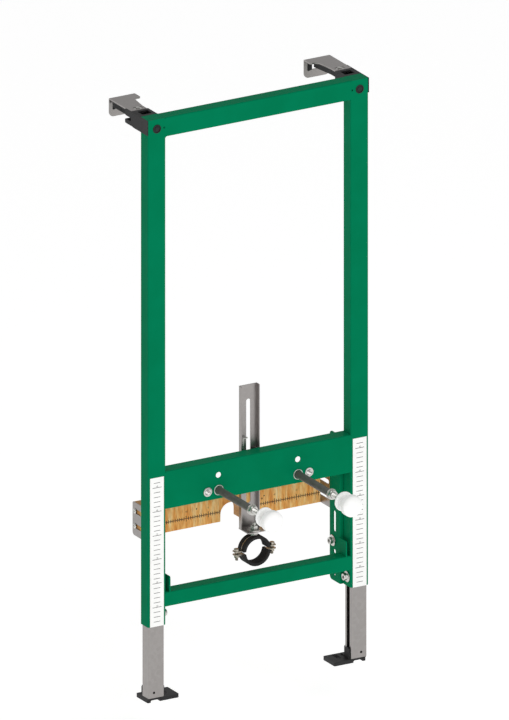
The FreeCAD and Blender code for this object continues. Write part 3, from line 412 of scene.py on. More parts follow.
def only(*pieces: bpy.types.Object) -> None:
    """Select these pieces and nothing else, the first one active."""
    bpy.ops.object.select_all(action="DESELECT")
    for piece in pieces:
        piece.select_set(True)
    bpy.context.view_layer.objects.active = pieces[0]


@contextmanager
def editing(piece: bpy.types.Object, kind: str = "FACE") -> Iterator[None]:
    """Edit mode on one piece, with all of it selected.

    Args:
        piece: Piece to edit.
        kind: VERT, EDGE or FACE selection.
    """
    only(piece)
    bpy.ops.object.mode_set(mode="EDIT")
    bpy.ops.mesh.select_mode(type=kind)
    bpy.ops.mesh.select_all(action="SELECT")
    yield
    bpy.ops.object.mode_set(mode="OBJECT")


def settle(piece: bpy.types.Object) -> None:
    """Bake the object's place, turn and scale into its mesh."""
    only(piece)
    bpy.ops.object.transform_apply(location=True, rotation=True, scale=True)


def modify(piece: bpy.types.Object, kind: str, **settings) -> None:
    """Put a modifier on a piece and apply it.

    Args:
        piece: Piece to change.
        kind: Modifier type.
        **settings: The modifier's properties.
    """
    only(piece)
    modifier = piece.modifiers.new(kind.lower(), kind)
    for name, value in settings.items():
        setattr(modifier, name, value)
    bpy.ops.object.modifier_apply(modifier=modifier.name)


def weigh(piece: bpy.types.Object, width: float, turn: float) -> None:
    """Mark the sharp edges for rounding, except at corners where it would overshoot.

    Args:
        piece: Piece in object mode.
        width: Width of the rounding in metres.
        turn: Angle in radians from which an edge counts as sharp.
    """
    mesh = bmesh.new()
    mesh.from_mesh(piece.data)
    weights = mesh.edges.layers.float.new("bevel_weight_edge")
    sharp = {e for e in mesh.edges if len(e.link_faces) == 2 and e.calc_face_angle(0.0) > turn}
    spoilt = set()
    for edge in sharp:
        for corner in edge.verts:
            run = edge.other_vert(corner).co - corner.co
            for other in corner.link_edges:
                if other is edge or not set(other.link_faces) & set(edge.link_faces):
                    continue
                way = other.other_vert(corner).co - corner.co
                angle = run.angle(way, 0.0)
                share = 1 + math.cos(angle) if other in sharp else 1
                grazing = other not in sharp and math.sin(angle) < 0.6
                if grazing or width * share / max(math.sin(angle), MERGE) > 0.45 * way.length:
                    spoilt.add(corner)
    for edge in sharp:
        edge[weights] = 0.0 if spoilt.intersection(edge.verts) else 1.0
    mesh.to_mesh(piece.data)
    mesh.free()


def ease(piece: bpy.types.Object, width_mm: float, turn: float = 50.0) -> None:
    """Round the sharp edges a little and shade what is left smooth.

    Args:
        piece: Piece to finish.
        width_mm: Width of the rounding, or 0 for none.
        turn: Degrees from which an edge counts as sharp.
    """
    if width_mm:
        weigh(piece, width_mm * MM, math.radians(turn))
        modify(piece, "BEVEL", width=width_mm * MM, segments=2, limit_method="WEIGHT",
               use_clamp_overlap=False)
    only(piece)
    bpy.ops.object.shade_smooth_by_angle(angle=math.radians(turn))
    modify(piece, "WEIGHTED_NORMAL", keep_sharp=True)


def turned(name: str, outline: list[tuple[float, float]], steps: int = 40) -> bpy.types.Object:
    """Lathe a piece: draw its outline point by point and spin it about +Z.

    Args:
        name: Name of the piece.
        outline: Radius and height of each point in millimetres; the first is repeated
            at the end of a ring's outline.
        steps: Faces round the piece.

    Returns:
        The closed piece, still at the middle of the scene.
    """
    here = outline[0]
    bpy.ops.object.select_all(action="DESELECT")
    bpy.ops.mesh.primitive_plane_add(size=MM, location=(here[0] * MM, 0, here[1] * MM))
    piece = bpy.context.object
    piece.name = name
    settle(piece)
    with editing(piece, "VERT"):
        bpy.ops.mesh.merge(type="CENTER")
        for there in outline[1:]:
            step = ((there[0] - here[0]) * MM, 0, (there[1] - here[1]) * MM)
            bpy.ops.mesh.extrude_vertices_move(TRANSFORM_OT_translate={"value": step})
            here = there
        bpy.ops.mesh.select_all(action="SELECT")
        bpy.ops.mesh.spin(steps=steps, angle=math.tau, center=(0, 0, 0), axis=(0, 0, 1))
        bpy.ops.mesh.select_all(action="SELECT")
        bpy.ops.mesh.remove_doubles(threshold=MERGE)
        bpy.ops.mesh.normals_make_consistent(inside=False)
    return piece


def threaded(name: str, radius: float, pitch: float, low: float, high: float,
             steps: int = 24) -> bpy.types.Object:
    """Screw thread about +Z: one pitch of its outline, wound up and cut off square.

    Args:
        name: Name of the piece.
        radius: Outer radius in millimetres.
        pitch: Millimetres from turn to turn.
        low: Height of its lower end.
        high: Height of its upper end.
        steps: Faces in one turn.

    Returns:
        The closed rod, its ends narrowed as on a cut thread.
    """
    root = radius - 0.61 * pitch
    start = low - 1.513 * pitch
    outline = [(root, 0.0), (root, 0.12 * pitch), (radius, 0.48 * pitch),
               (radius, 0.62 * pitch), (root, pitch)]
    bpy.ops.object.select_all(action="DESELECT")
    bpy.ops.mesh.primitive_plane_add(size=MM, location=(root * MM, 0, start * MM))
    piece = bpy.context.object
    piece.name = name
    settle(piece)
    with editing(piece, "VERT"):
        bpy.ops.mesh.merge(type="CENTER")
        for here, there in zip(outline, outline[1:]):
            step = ((there[0] - here[0]) * MM, 0, (there[1] - here[1]) * MM)
            bpy.ops.mesh.extrude_vertices_move(TRANSFORM_OT_translate={"value": step})
    turns = math.ceil((high - low) / pitch) + 3
    modify(piece, "SCREW", axis="Z", angle=math.tau, steps=steps, render_steps=steps,
           iterations=turns, screw_offset=pitch * MM, use_merge_vertices=True,
           merge_threshold=MERGE)
    with editing(piece, "VERT"):
        bpy.ops.mesh.remove_doubles(threshold=MERGE)
        for height, way in ((low, -1), (high, 1)):
            bpy.ops.mesh.select_all(action="SELECT")
            bpy.ops.mesh.bisect(plane_co=(0, 0, height * MM), plane_no=(0, 0, way),
                                use_fill=True, clear_outer=True, threshold=CLOSE)
        bpy.ops.mesh.select_all(action="SELECT")
        bpy.ops.mesh.normals_make_consistent(inside=False)
    for height, inwards in ((low, 1), (high, -1)):
        pick(piece, lambda p: (p.z / MM - height) * inwards < 0.3 * pitch)
        with resumed(piece):
            share = root / radius
            bpy.ops.transform.resize(value=(share, share, 1), center_override=(0, 0, height * MM))
    return piece


def pick(piece: bpy.types.Object, wanted) -> None:
    """Select in a mesh just the points whose place is wanted.

    Args:
        piece: Piece in object mode.
        wanted: Takes a point's place and says yes or no.
    """
    mesh = piece.data
    for face in mesh.polygons:
        face.select = False
    for edge in mesh.edges:
        edge.select = False
    for vertex in mesh.vertices:
        vertex.select = bool(wanted(vertex.co))


@contextmanager
def resumed(piece: bpy.types.Object) -> Iterator[None]:
    """Edit mode on the points that pick chose."""
    only(piece)
    bpy.ops.object.mode_set(mode="EDIT")
    bpy.ops.mesh.select_mode(type="VERT")
    yield
    bpy.ops.object.mode_set(mode="OBJECT")


def block(name: str, low: tuple[float, float, float],
          high: tuple[float, float, float]) -> bpy.types.Object:
    """Block between two corners in millimetres, as a start for shaping."""
    low_v, high_v = Vector(low) * MM, Vector(high) * MM
    bpy.ops.object.select_all(action="DESELECT")
    bpy.ops.mesh.primitive_cube_add(size=1.0, location=(low_v + high_v) / 2,
                                    scale=high_v - low_v)
    piece = bpy.context.object
    piece.name = name
    settle(piece)
    return piece


def hexagon(name: str, flats: float, low: float, high: float) -> bpy.types.Object:
    """Six-sided bar about +Z, its size over flats in millimetres."""
    bpy.ops.object.select_all(action="DESELECT")
    bpy.ops.mesh.primitive_cylinder_add(vertices=6, radius=flats / math.sqrt(3) * MM,
                                        depth=(high - low) * MM, rotation=(0, 0, math.pi / 6),
                                        location=(0, 0, (low + high) / 2 * MM))
    piece = bpy.context.object
    piece.name = name
    settle(piece)
    return piece


def meet(piece: bpy.types.Object, tool: bpy.types.Object, operation: str = "DIFFERENCE") -> None:
    """Cut, keep or add what the tool covers, and take the tool away.

    Args:
        piece: Piece to change.
        tool: Closed mesh used up by the operation.
        operation: DIFFERENCE, INTERSECT or UNION.
    """
    modify(piece, "BOOLEAN", object=tool, operation=operation, solver="EXACT")
    bpy.data.objects.remove(tool)


def twin(piece: bpy.types.Object, name: str) -> bpy.types.Object:
    """Copy of a piece with a mesh of its own."""
    double = piece.copy()
    double.data = piece.data.copy()
    double.name = name
    bpy.context.collection.objects.link(double)
    return double


def joined(name: str, pieces: list[bpy.types.Object]) -> bpy.types.Object:
    """Make one object of several."""
    only(*pieces)
    bpy.ops.object.join()
    pieces[0].name = name
    return pieces[0]


def stood(piece: bpy.types.Object, seat: Vector, out: Vector) -> bpy.types.Object:
    """Turn a piece's +Z to out and put its middle on seat, in its mesh."""
    piece.rotation_euler = out.to_track_quat("Z", "Y").to_euler()
    piece.location = seat
    settle(piece)
    return piece


def hand_in(piece: bpy.types.Object, body: str, look: Look, *nodes: str) -> None:
    """Dress a finished piece, put it on its body and hide the CAD nodes that it replaces.

    Args:
        piece: Finished piece, its place in its mesh.
        body: CAD body that it rides on.
        look: Its finish.
        *nodes: CAD nodes that it replaces.
    """
    piece.data.materials.clear()
    piece.data.materials.append(material_of(look))
    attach(piece, body)
    if nodes:
        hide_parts(*nodes)
    LOG.info("%s on %s, %d faces", piece.name, body, len(piece.data.polygons))


def body_of(node: str) -> str:
    """Name of the CAD body that a node belongs to."""
    for body, members in frame["record"]["behaviour"]["bodies"].items():
        if node in members:
            return body
    return "frame"


def look_of(node: str) -> Look:
    """The finish that the record's slot of a node names."""
    for row in frame["record"]["subparts"]:
        if row["node"] == node:
            return BY_SLOT[row["material_slot"]]
    return Look.GREEN


def folded(piece: bpy.types.Object) -> bool:
    """Tell whether a face of the piece folds back over itself where it would show."""
    faces = piece.data.polygons
    piece.data.calc_loop_triangles()
    return FOLD < sum(triangle.area for triangle in piece.data.loop_triangles
                      if triangle.normal.dot(faces[triangle.polygon_index].normal) < 0)


def eased_copy(node: str, width_mm: float, name: str = "") -> bpy.types.Object:
    """Copy a CAD node, merge its loose triangles, and round its sharp edges.

    Args:
        node: CAD node.
        width_mm: Width of the rounding; narrower, or none, where its faces would fold.
        name: Name of the copy, or the node's with a word added.

    Returns:
        The copy, not handed in yet.
    """
    merged = bpy.data.objects.new("merged", NODES[node].data.copy())
    bpy.context.collection.objects.link(merged)
    only(merged)
    bpy.ops.mesh.customdata_custom_splitnormals_clear()
    with editing(merged, "VERT"):
        bpy.ops.mesh.remove_doubles(threshold=MERGE)
        bpy.ops.mesh.dissolve_limited(angle_limit=math.radians(0.4))
    for share in (1.0, 0.6, 0.3, 0.0):
        piece = twin(merged, name or node + "_eased")
        ease(piece, width_mm * share)
        if share == 0.0 or not folded(piece):
            break
        bpy.data.objects.remove(piece)
    bpy.data.objects.remove(merged)
    return piece


@dataclass
class Sheetwork:
    """Pieces whose CAD shape is right: copies with the edges of real tube, sheet and moulding."""

    tube_mm: float = 0.45
    sheet_mm: float = 0.35
    moulded_mm: float = 0.5
    board_mm: float = 0.9
    band_mm: float = 0.3

    def widths(self) -> dict[str, float]:
        """Edge rounding of each node, in millimetres."""
        sizes = {"top_bar": self.tube_mm, "bottom_bar": self.tube_mm,
                 "front_panel": self.tube_mm, "tap_board": self.board_mm,
                 "waste_carrier": self.sheet_mm, "carrier_guide": self.sheet_mm,
                 "clamp_upper": self.band_mm, "clamp_lower": self.band_mm}
        for side in SIDES:
            for part, width in (("post", self.tube_mm), ("side_rail", self.sheet_mm),
                                ("leg", self.sheet_mm), ("foot", self.moulded_mm),
                                ("wall_bracket", self.sheet_mm), ("bracket_slide", 0.25),
                                ("bracket_holder", self.moulded_mm),
                                ("board_bracket", self.sheet_mm), ("stud_nut", 0.25)):
                sizes[f"{side}_{part}"] = width
        return sizes

    def build(self) -> None:
        """Make every copy and hand it in."""
        for node, width in self.widths().items():
            look = Look.BAND if node.startswith("clamp") else look_of(node)
            hand_in(eased_copy(node, width), body_of(node), look, node)


@dataclass
class Studs:
    """The two long studs: M12 thread, rear nut, grey sleeve, white disc and cap."""

    spacing: float = 180.0
    level: float = 420.0
    radius: float = 6.0
    pitch: float = 1.75
    back: float = 18.0
    front: float = -210.0
    sleeve_end: float = -130.0
    panel_t: float = 2.0
    nut_flats: float = 18.0
    nut_h: float = 8.0
    disc_front: float = -183.0
    cap_back: float = -195.0

    def nut(self, low: float) -> bpy.types.Object:
        """Hexagon nut with both ends turned off at the corners, from low upwards."""
        corner, face, high = self.nut_flats / math.sqrt(3), self.nut_flats * 0.475, low + self.nut_h
        nut = hexagon("nut", self.nut_flats, low, high)
        lens = turned("lens", [(0, low - 0.01), (face, low - 0.01), (corner + 0.3, low + 1.2),
                               (corner + 0.3, high - 1.2), (face, high + 0.01),
                               (0, high + 0.01)], 48)
        meet(nut, lens, "INTERSECT")
        return nut

    def sleeve_outline(self) -> list[tuple[float, float]]:
        """Half section of the sleeve, height measured to the front."""
        end = -self.sleeve_end
        return [(6.4, -2.0), (7.5, -2.0), (7.5, end - 0.9), (7.1, end), (6.6, end),
                (6.4, end - 0.5), (6.4, -2.0)]

    def disc_outline(self) -> list[tuple[float, float]]:
        """Half section of the disc from its neck to its rounded rim."""
        face = -self.disc_front
        return [(6.1, face - 13), (8.4, face - 13), (9.0, face - 12.4), (9.0, face - 5.8),
                (9.8, face - 5.0), (18.8, face - 5.0), (19.7, face - 4.4), (20.0, face - 3.4),
                (20.0, face - 1.6), (19.7, face - 0.6), (18.8, face), (11.5, face),
                (10.8, face - 0.5), (10.1, face), (6.8, face), (6.1, face - 0.6),
                (6.1, face - 13)]

    def cap_outline(self) -> list[tuple[float, float]]:
        """Half section of the cap: cone, straight side and dome over a blind bore."""
        back = -self.cap_back
        dome = []
        for i in range(0, 11):
            turn = math.radians(9.0 * i)
            dome.append((22.0 * math.cos(turn), back + 19 + 11 * math.sin(turn)))
        return [(0.0, back + 16), (6.1, back + 16), (6.1, back + 0.8), (6.9, back),
                (15.2, back), (16.3, back + 0.5), (21.4, back + 8.2), (22.0, back + 9.6),
                *dome[:-1], (0.0, back + 30)]

    def collar_outline(self) -> list[tuple[float, float]]:
        """Half section of the plated collar that sits on the panel round the sleeve."""
        return [(8.9, -0.5), (8.9, 1.4), (9.3, 1.8), (10.0, 1.8), (10.5, 1.5), (10.8, 0.9),
                (10.8, -0.5), (8.9, -0.5)]

    def build(self) -> None:
        """Build one of each and stand a copy on each side."""
        rod = threaded("stud", self.radius, self.pitch, -self.back, -self.front, 20)
        stud = joined("stud", [rod, self.nut(-self.panel_t - self.nut_h)])
        sleeve = turned("sleeve", self.sleeve_outline(), 40)
        disc = turned("disc", self.disc_outline(), 64)
        cap = turned("cap", self.cap_outline(), 64)
        for master, part, look, width in ((stud, "stud", Look.ZINC, 0.0),
                                          (sleeve, "stud_sleeve", Look.SLEEVE, 0.0),
                                          (disc, "stud_disc", Look.WHITE, 0.0),
                                          (cap, "stud_cap", Look.WHITE, 0.0)):
            for side, sign in SIDES.items():
                piece = twin(master, f"{side}_{part}_turned")
                stood(piece, at(sign * self.spacing / 2, 0, self.level), FRONT)
                ease(piece, width, 40.0)
                hand_in(piece, "frame", look, f"{side}_{part}")
            bpy.data.objects.remove(master)
        collar = turned("collar", self.collar_outline(), 48)
        pair = [stood(twin(collar, side + " collar"), at(sign * self.spacing / 2, 0, self.level),
                      FRONT) for side, sign in SIDES.items()]
        bpy.data.objects.remove(collar)
        piece = joined("stud_collars", pair)
        ease(piece, 0.0, 50.0)
        hand_in(piece, "frame", Look.ZINC)


@dataclass
class InsertNuts:
    """Flanged rivet nuts in the panel, threaded inside."""

    spacing: float = 230.0
    level: float = 420.0
    bore: float = 5.1
    pitch: float = 1.75

    def build(self) -> None:
        """Turn one nut, cut its thread, and set a copy on each side."""
        body = turned("insert", [
            (self.bore, -18.0), (7.6, -18.0), (8.0, -17.6), (8.0, -6.2), (9.2, -5.8),
            (9.2, -2.4), (8.6, -2.0), (8.0, -2.0), (8.0, 0.0), (9.2, 0.0), (9.5, 0.4),
            (9.5, 1.5), (9.0, 2.0), (6.5, 2.0), (self.bore, 0.6), (self.bore, -18.0)], 48)
        thread = threaded("thread", self.bore + 0.62 * self.pitch, self.pitch, -20.0, 4.0, 24)
        meet(body, thread)
        nuts = []
        for side, sign in SIDES.items():
            nuts.append(stood(twin(body, side + "_insert"),
                              at(sign * self.spacing / 2, 0, self.level), FRONT))
        bpy.data.objects.remove(body)
        piece = joined("insert_nuts_turned", nuts)
        ease(piece, 0.0, 30.0)
        hand_in(piece, "frame", Look.ZINC, "insert_nuts")


@dataclass
class FlangeScrews:
    """Socket screws with a wide flange, two at the legs and two at the rails."""

    radius: float = 4.0
    pitch: float = 1.25
    flange_r: float = 11.5
    head_r: float = 7.0
    head_top: float = 9.0
    socket_flats: float = 6.0
    socket_deep: float = 4.5
    leg_level: float = 180.0
    leg_reach: float = 9.8
    rail_level: float = 243.0
    rail_back: float = 59.0
    rail_reach: float = 11.5
    rail_web: float = 203.0

    def head(self) -> bpy.types.Object:
        """Flange, rounded head and a hexagon socket, seat at zero."""
        head = turned("head", [
            (0.0, 0.0), (9.9, 0.0), (10.3, 0.25), (10.9, 0.25), (self.flange_r, 0.8),
            (self.flange_r, 1.3), (11.0, 1.9), (8.2, 2.3), (7.3, 2.8), (self.head_r, 3.6),
            (self.head_r, 8.0), (6.7, 8.7), (6.1, self.head_top), (4.2, self.head_top),
            (3.6, self.head_top - 0.5), (0.0, self.head_top - 0.5)], 48)
        meet(head, hexagon("socket", self.socket_flats, self.head_top - self.socket_deep,
                           self.head_top + 1))
        return head

    def screw(self, name: str, reach: float, nut: bpy.types.Object) -> bpy.types.Object:
        """One screw with its thread down to reach and its nut."""
        thread = threaded("shank", self.radius, self.pitch, -reach, -0.2, 20)
        return joined(name, [self.head(), thread, nut])

    def build(self) -> None:
        """Build a leg screw and a rail screw and set them on both sides."""
        square = block("square nut", (-8, -8, -9.8), (8, 8, -4.8))
        corner = 13.0 / math.sqrt(3)
        nut = hexagon("nut", 13.0, -8.5, -2.0)
        meet(nut, turned("lens", [(0, -8.51), (6.1, -8.51), (corner + 0.2, -7.6),
                                  (corner + 0.2, -2.9), (6.1, -1.99), (0, -1.99)], 36),
             "INTERSECT")
        leg = self.screw("leg screw", self.leg_reach, square)
        rail = self.screw("rail screw", self.rail_reach, nut)
        for master, node, x, y, z in (
                (leg, "leg_screws", 210.0, 15.0, self.leg_level),
                (rail, "rail_screws", self.rail_web, self.rail_back, self.rail_level)):
            pair = [stood(twin(master, f"{side} {node}"), at(sign * x, y, z),
                          Vector((-sign, 0, 0))) for side, sign in SIDES.items()]
            bpy.data.objects.remove(master)
            piece = joined(node + "_cut", pair)
            ease(piece, 0.0, 30.0)
            hand_in(piece, "frame", Look.ZINC, node)


@dataclass
class CornerPlugs:
    """Push-in plugs in the posts' tops: a dished button inside a rounded rim."""

    x: float = 230.0
    level: float = 1200.0

    def build(self) -> None:
        """Turn one plug and set a copy on each post."""
        plug = turned("plug", [
            (0.0, 1.4), (4.2, 1.4), (4.8, 1.0), (4.9, 0.15), (7.2, 0.15), (7.4, 1.4),
            (7.9, 1.6), (8.6, 1.4), (9.0, 0.8), (9.0, 0.0), (5.7, 0.0), (5.7, -2.6),
            (5.2, -3.2), (0.0, -3.2)], 48)
        pair = [stood(twin(plug, side + " plug"), at(sign * self.x, 0, self.level), FRONT)
                for side, sign in SIDES.items()]
        bpy.data.objects.remove(plug)
        piece = joined("corner_plugs_dished", pair)
        ease(piece, 0.0, 50.0)
        hand_in(piece, "frame", Look.BLACK, "corner_plugs")


@dataclass
class Welds:
    """Weld beads behind the joints of posts, bars and panel, and ground seams in front."""

    x: float = 210.0
    depth: float = 29.6
    bead_r: float = 2.0
    ripple: float = 0.3
    pitch: float = 2.6
    tube_r: float = 2.5
    sunk: float = 0.03
    rounded: float = 0.78
    past: float = 1.7
    peep_x: float = 213.0
    peep_z: float = 1200.0
    peep_r: float = 2.0

    def bead(self, name: str, length: float) -> bpy.types.Object:
        """Rippled bead with tapered ends, along +Z from its middle."""
        outline = [(0.0, -length / 2)]
        count = round(length / self.pitch)
        for i in range(count * 3 + 1):
            share = i / (count * 3)
            swell = self.ripple * math.cos(math.tau * i / 3)
            taper = min(1.0, 0.55 + 4 * min(share, 1 - share))
            outline.append(((self.bead_r + swell) * taper, (share - 0.5) * length))
        outline.append((0.0, length / 2))
        return turned(name, outline, 14)

    def build(self) -> None:
        """Lay the beads on both sides and join them."""
        beads = []
        for side, sign in SIDES.items():
            for low, high in ((1184.0, 1216.0), (200.0, 224.0)):
                bead = self.bead(side + " bead", high - low)
                beads.append(stood(bead, at(sign * self.x, self.depth, (low + high) / 2), UP))
            for level in (403.6, 477.4):
                bead = self.bead(side + " bead", 20.0)
                beads.append(stood(bead, at(sign * (self.x - 0.6), 17.0, level), FRONT))
            for low, high in ((1180.0, 1217.5), (199.5, 224.5), (403.5, 477.5)):
                inner, outer = sign * (self.x - 0.2), sign * (self.x + self.tube_r)
                low_c = at(min(inner, outer), self.sunk, low + self.sunk)
                high_c = at(max(inner, outer), self.tube_r, high - self.sunk)
                seam = block("seam", low_c / MM, high_c / MM)
                if low < self.peep_z < high:
                    reach = 2 * self.tube_r
                    peep = turned("peep", [(0.0, -reach), (self.peep_r, -reach),
                                           (self.peep_r, reach), (0.0, reach)], 24)
                    meet(seam, stood(peep, at(sign * self.peep_x, 0.0, self.peep_z), FRONT))
                beads.append(seam)
                low_c = at(min(inner, outer), self.rounded, low - self.past * (low < 1000.0))
                high_c = at(max(inner, outer), self.tube_r, high + self.past)
                beads.append(block("seam end", low_c / MM, high_c / MM))
        piece = joined("weld_beads", beads)
        ease(piece, 0.0, 60.0)
        hand_in(piece, "frame", Look.GREEN)


@dataclass
class SlotClips:
    """Black clips pushed on both ends of each wall slot, which keep the bolt centred."""

    flange_x: float = 221.0
    level: float = 1203.0
    slot_end: float = 18.0
    rear: float = 155.0
    flange_t: float = 3.0
    arm: float = 2.0
    deep: float = 6.0
    over: float = 3.0
    height: float = 16.0

    def clip(self, name: str) -> bpy.types.Object:
        """One clip at the origin: a block over the flange with a groove for it."""
        reach = self.flange_t + self.arm
        clip = block(name, (-self.over, -reach, -self.height / 2), (self.deep, 0, self.height / 2))
        pick(clip, lambda p: p.x > 0)
        with resumed(clip):
            bpy.ops.transform.resize(value=(1, 1, 0.72), center_override=(0, 0, 0))
        groove = block("groove", (-self.over - 1, -self.flange_t, -self.height),
                       (self.deep - 3.2, 0.1, self.height))
        meet(clip, groove)
        ease(clip, 0.5, 30.0)
        return clip

    def build(self) -> None:
        """Model one clip and put it on the four slot ends."""
        master = self.clip("clip")
        for side, sign in SIDES.items():
            pair = []
            for end in (-1, 1):
                clip = twin(master, f"{side} clip {end}")
                clip.rotation_euler = (0, 0 if end < 0 else math.pi, 0)
                clip.location = at(sign * self.flange_x + end * self.slot_end, self.rear,
                                   self.level)
                settle(clip)
                pair.append(clip)
            hand_in(joined(side + "_slot_clips", pair), "frame", Look.BLACK)
        bpy.data.objects.remove(master)


def printed_number(text: str, tall: float, thick: float, place: Vector) -> bpy.types.Object:
    """One printed number on a front face.

    Args:
        text: Digits to print.
        tall: Size of the type in millimetres.
        thick: Thickness of the ink in millimetres.
        place: Middle of the number's foot in the frame's metres.

    Returns:
        The number as a closed mesh, its place in its mesh.
    """
    bpy.ops.object.select_all(action="DESELECT")
    bpy.ops.object.text_add()
    word = bpy.context.object
    word.data.body = text
    word.data.size = tall * MM
    word.data.extrude = thick / 2 * MM
    word.data.align_x = "CENTER"
    only(word)
    bpy.ops.object.convert(target="MESH")
    word = bpy.context.object
    with editing(word, "VERT"):
        bpy.ops.mesh.remove_doubles(threshold=MERGE)
    word.rotation_euler = (math.pi / 2, 0, 0)
    word.location = place
    settle(word)
    return word


@dataclass
class RulerPrint:
    """Marks printed on the measuring strips: every 10 mm, longer every 50 mm, with numbers."""

    x: float = 230.0
    film: float = -0.4
    print_t: float = 0.06
    line: float = 1.1
    short: float = 15.0
    long: float = 20.4
    low: int = 170
    high: int = 460
    step: int = 10
    big_step: int = 50
    digit: float = 4.2

    def mark(self, name: str, length: float, level: float, thick: float) -> bpy.types.Object:
        """One printed stroke with rounded ends on the front of the strip."""
        bpy.ops.object.select_all(action="DESELECT")
        bpy.ops.mesh.primitive_cylinder_add(vertices=12, radius=self.line / 2 * MM,
                                            depth=thick * MM,
                                            rotation=(math.pi / 2, 0, 0))
        stroke = bpy.context.object
        stroke.name = name
        settle(stroke)
        for way in (-1, 1):
            pick(stroke, lambda p: p.x * way > MERGE)
            with resumed(stroke):
                reach = way * (length - self.line) / 2 * MM
                bpy.ops.transform.translate(value=(reach, 0, 0))
        stroke.location = at(0, self.film - thick / 2, level)
        settle(stroke)
        return stroke

    def build(self) -> None:
        """Print both strips."""
        for side, sign in SIDES.items():
            short = self.mark("short", self.short, self.low, self.print_t)
            modify(short, "ARRAY", count=(self.high - self.low) // self.step + 1,
                   use_relative_offset=False, use_constant_offset=True,
                   constant_offset_displace=(0, 0, self.step * MM))
            first = -(-self.low // self.big_step) * self.big_step
            long = self.mark("long", self.long, first, self.print_t * 1.5)
            modify(long, "ARRAY", count=(self.high - first) // self.big_step + 1,
                   use_relative_offset=False, use_constant_offset=True,
                   constant_offset_displace=(0, 0, self.big_step * MM))
            numbers = [printed_number(str(level // 10), self.digit, self.print_t,
                                      at(0.5, self.film - self.print_t / 2, level + 1.3))
                       for level in range(first, self.high + 1, self.big_step)]
            piece = joined(side + "_ruler_print", [short, long, *numbers])
            piece.location = (sign * self.x * MM, 0, 0)
            settle(piece)
            hand_in(piece, "frame", Look.INK)


@dataclass
class BoardPrint:
    """Scale on the tap board: a stroke every 5 mm, longer every 50, numbers and pilot dots."""

    front: float = 110.0
    level: float = 327.0
    inner: float = 24.0
    outer: float = 204.0
    print_t: float = 0.05
    line: float = 1.3
    short: float = 7.0
    long: float = 12.0
    step: int = 5
    big_step: int = 50
    digit: float = 5.0
    number_level: float = 339.5
    dot_x: float = 76.5
    dot_level: float = 343.0
    dot_r: float = 1.4

    def stroke(self, x: float, tall: float, wide: float, layers: int) -> bpy.types.Object:
        """One stroke of the scale, eased at its corners, so many layers of ink thick."""
        low = at(x - wide / 2, self.front - layers * self.print_t, self.level - tall / 2) / MM
        high = at(x + wide / 2, self.front, self.level + tall / 2) / MM
        stroke = block("stroke", low, high)
        with editing(stroke, "EDGE"):
            bpy.ops.mesh.bevel(offset=0.02 * MM, segments=1)
        return stroke

    def build(self) -> None:
        """Print the scale on both sides of the arch."""
        mid = (self.inner + self.outer) / 2
        parts = []
        for sign in SIDES.values():
            parts.append(self.stroke(sign * mid, self.line, self.outer - self.inner, 1))
            for start, step, tall, layers in ((25, self.step, self.short, 2),
                                              (50, self.big_step, self.long, 3)):
                row = self.stroke(sign * start, tall, self.line, layers)
                modify(row, "ARRAY", count=int(self.outer - start) // step + 1,
                       use_relative_offset=False, use_constant_offset=True,
                       constant_offset_displace=(sign * step * MM, 0, 0))
                parts.append(row)
            for x in range(self.big_step, int(self.outer) - self.big_step + 1, self.big_step):
                parts.append(printed_number(str(x // 10), self.digit, self.print_t,
                                            at(sign * x, self.front - self.print_t / 2,
                                               self.number_level)))
            dot = turned("dot", [(0.0, 0.0), (self.dot_r, 0.0), (self.dot_r, self.print_t),
                                 (0.0, self.print_t)], 16)
            parts.append(stood(dot, at(sign * self.dot_x, self.front, self.dot_level), FRONT))
        hand_in(joined("board_scale_print", parts), "frame", Look.SCORCH)


@dataclass
class BoardScrews:
    """Pan head screws with a cross recess over the slots of the board brackets."""

    x: float = 207.0
    y: float = 126.0
    levels: tuple[float, float] = (326.5, 357.5)

    def build(self) -> None:
        """Turn one head, cut its cross, and set four copies."""
        head = turned("head", [(0.0, 0.0), (5.3, 0.0), (5.5, 0.3), (5.4, 1.1), (4.8, 1.8),
                               (3.6, 2.3), (1.8, 2.5), (0.0, 2.5)], 36)
        for wide, tall in ((3.0, 0.55), (0.55, 3.0)):
            meet(head, block("cross", (-wide, -tall, 1.0), (wide, tall, 3.0)))
        shank = threaded("shank", 2.5, 1.1, -1.95, 0.1, 16)
        screw = joined("screw", [head, shank])
        screws = []
        for side, sign in SIDES.items():
            for level in self.levels:
                screws.append(stood(twin(screw, side + " board screw"),
                                    at(sign * self.x, self.y, level), Vector((sign, 0, 0))))
        bpy.data.objects.remove(screw)
        piece = joined("board_screws_cut", screws)
        ease(piece, 0.0, 35.0)
        hand_in(piece, "frame", Look.ZINC, "board_screws")


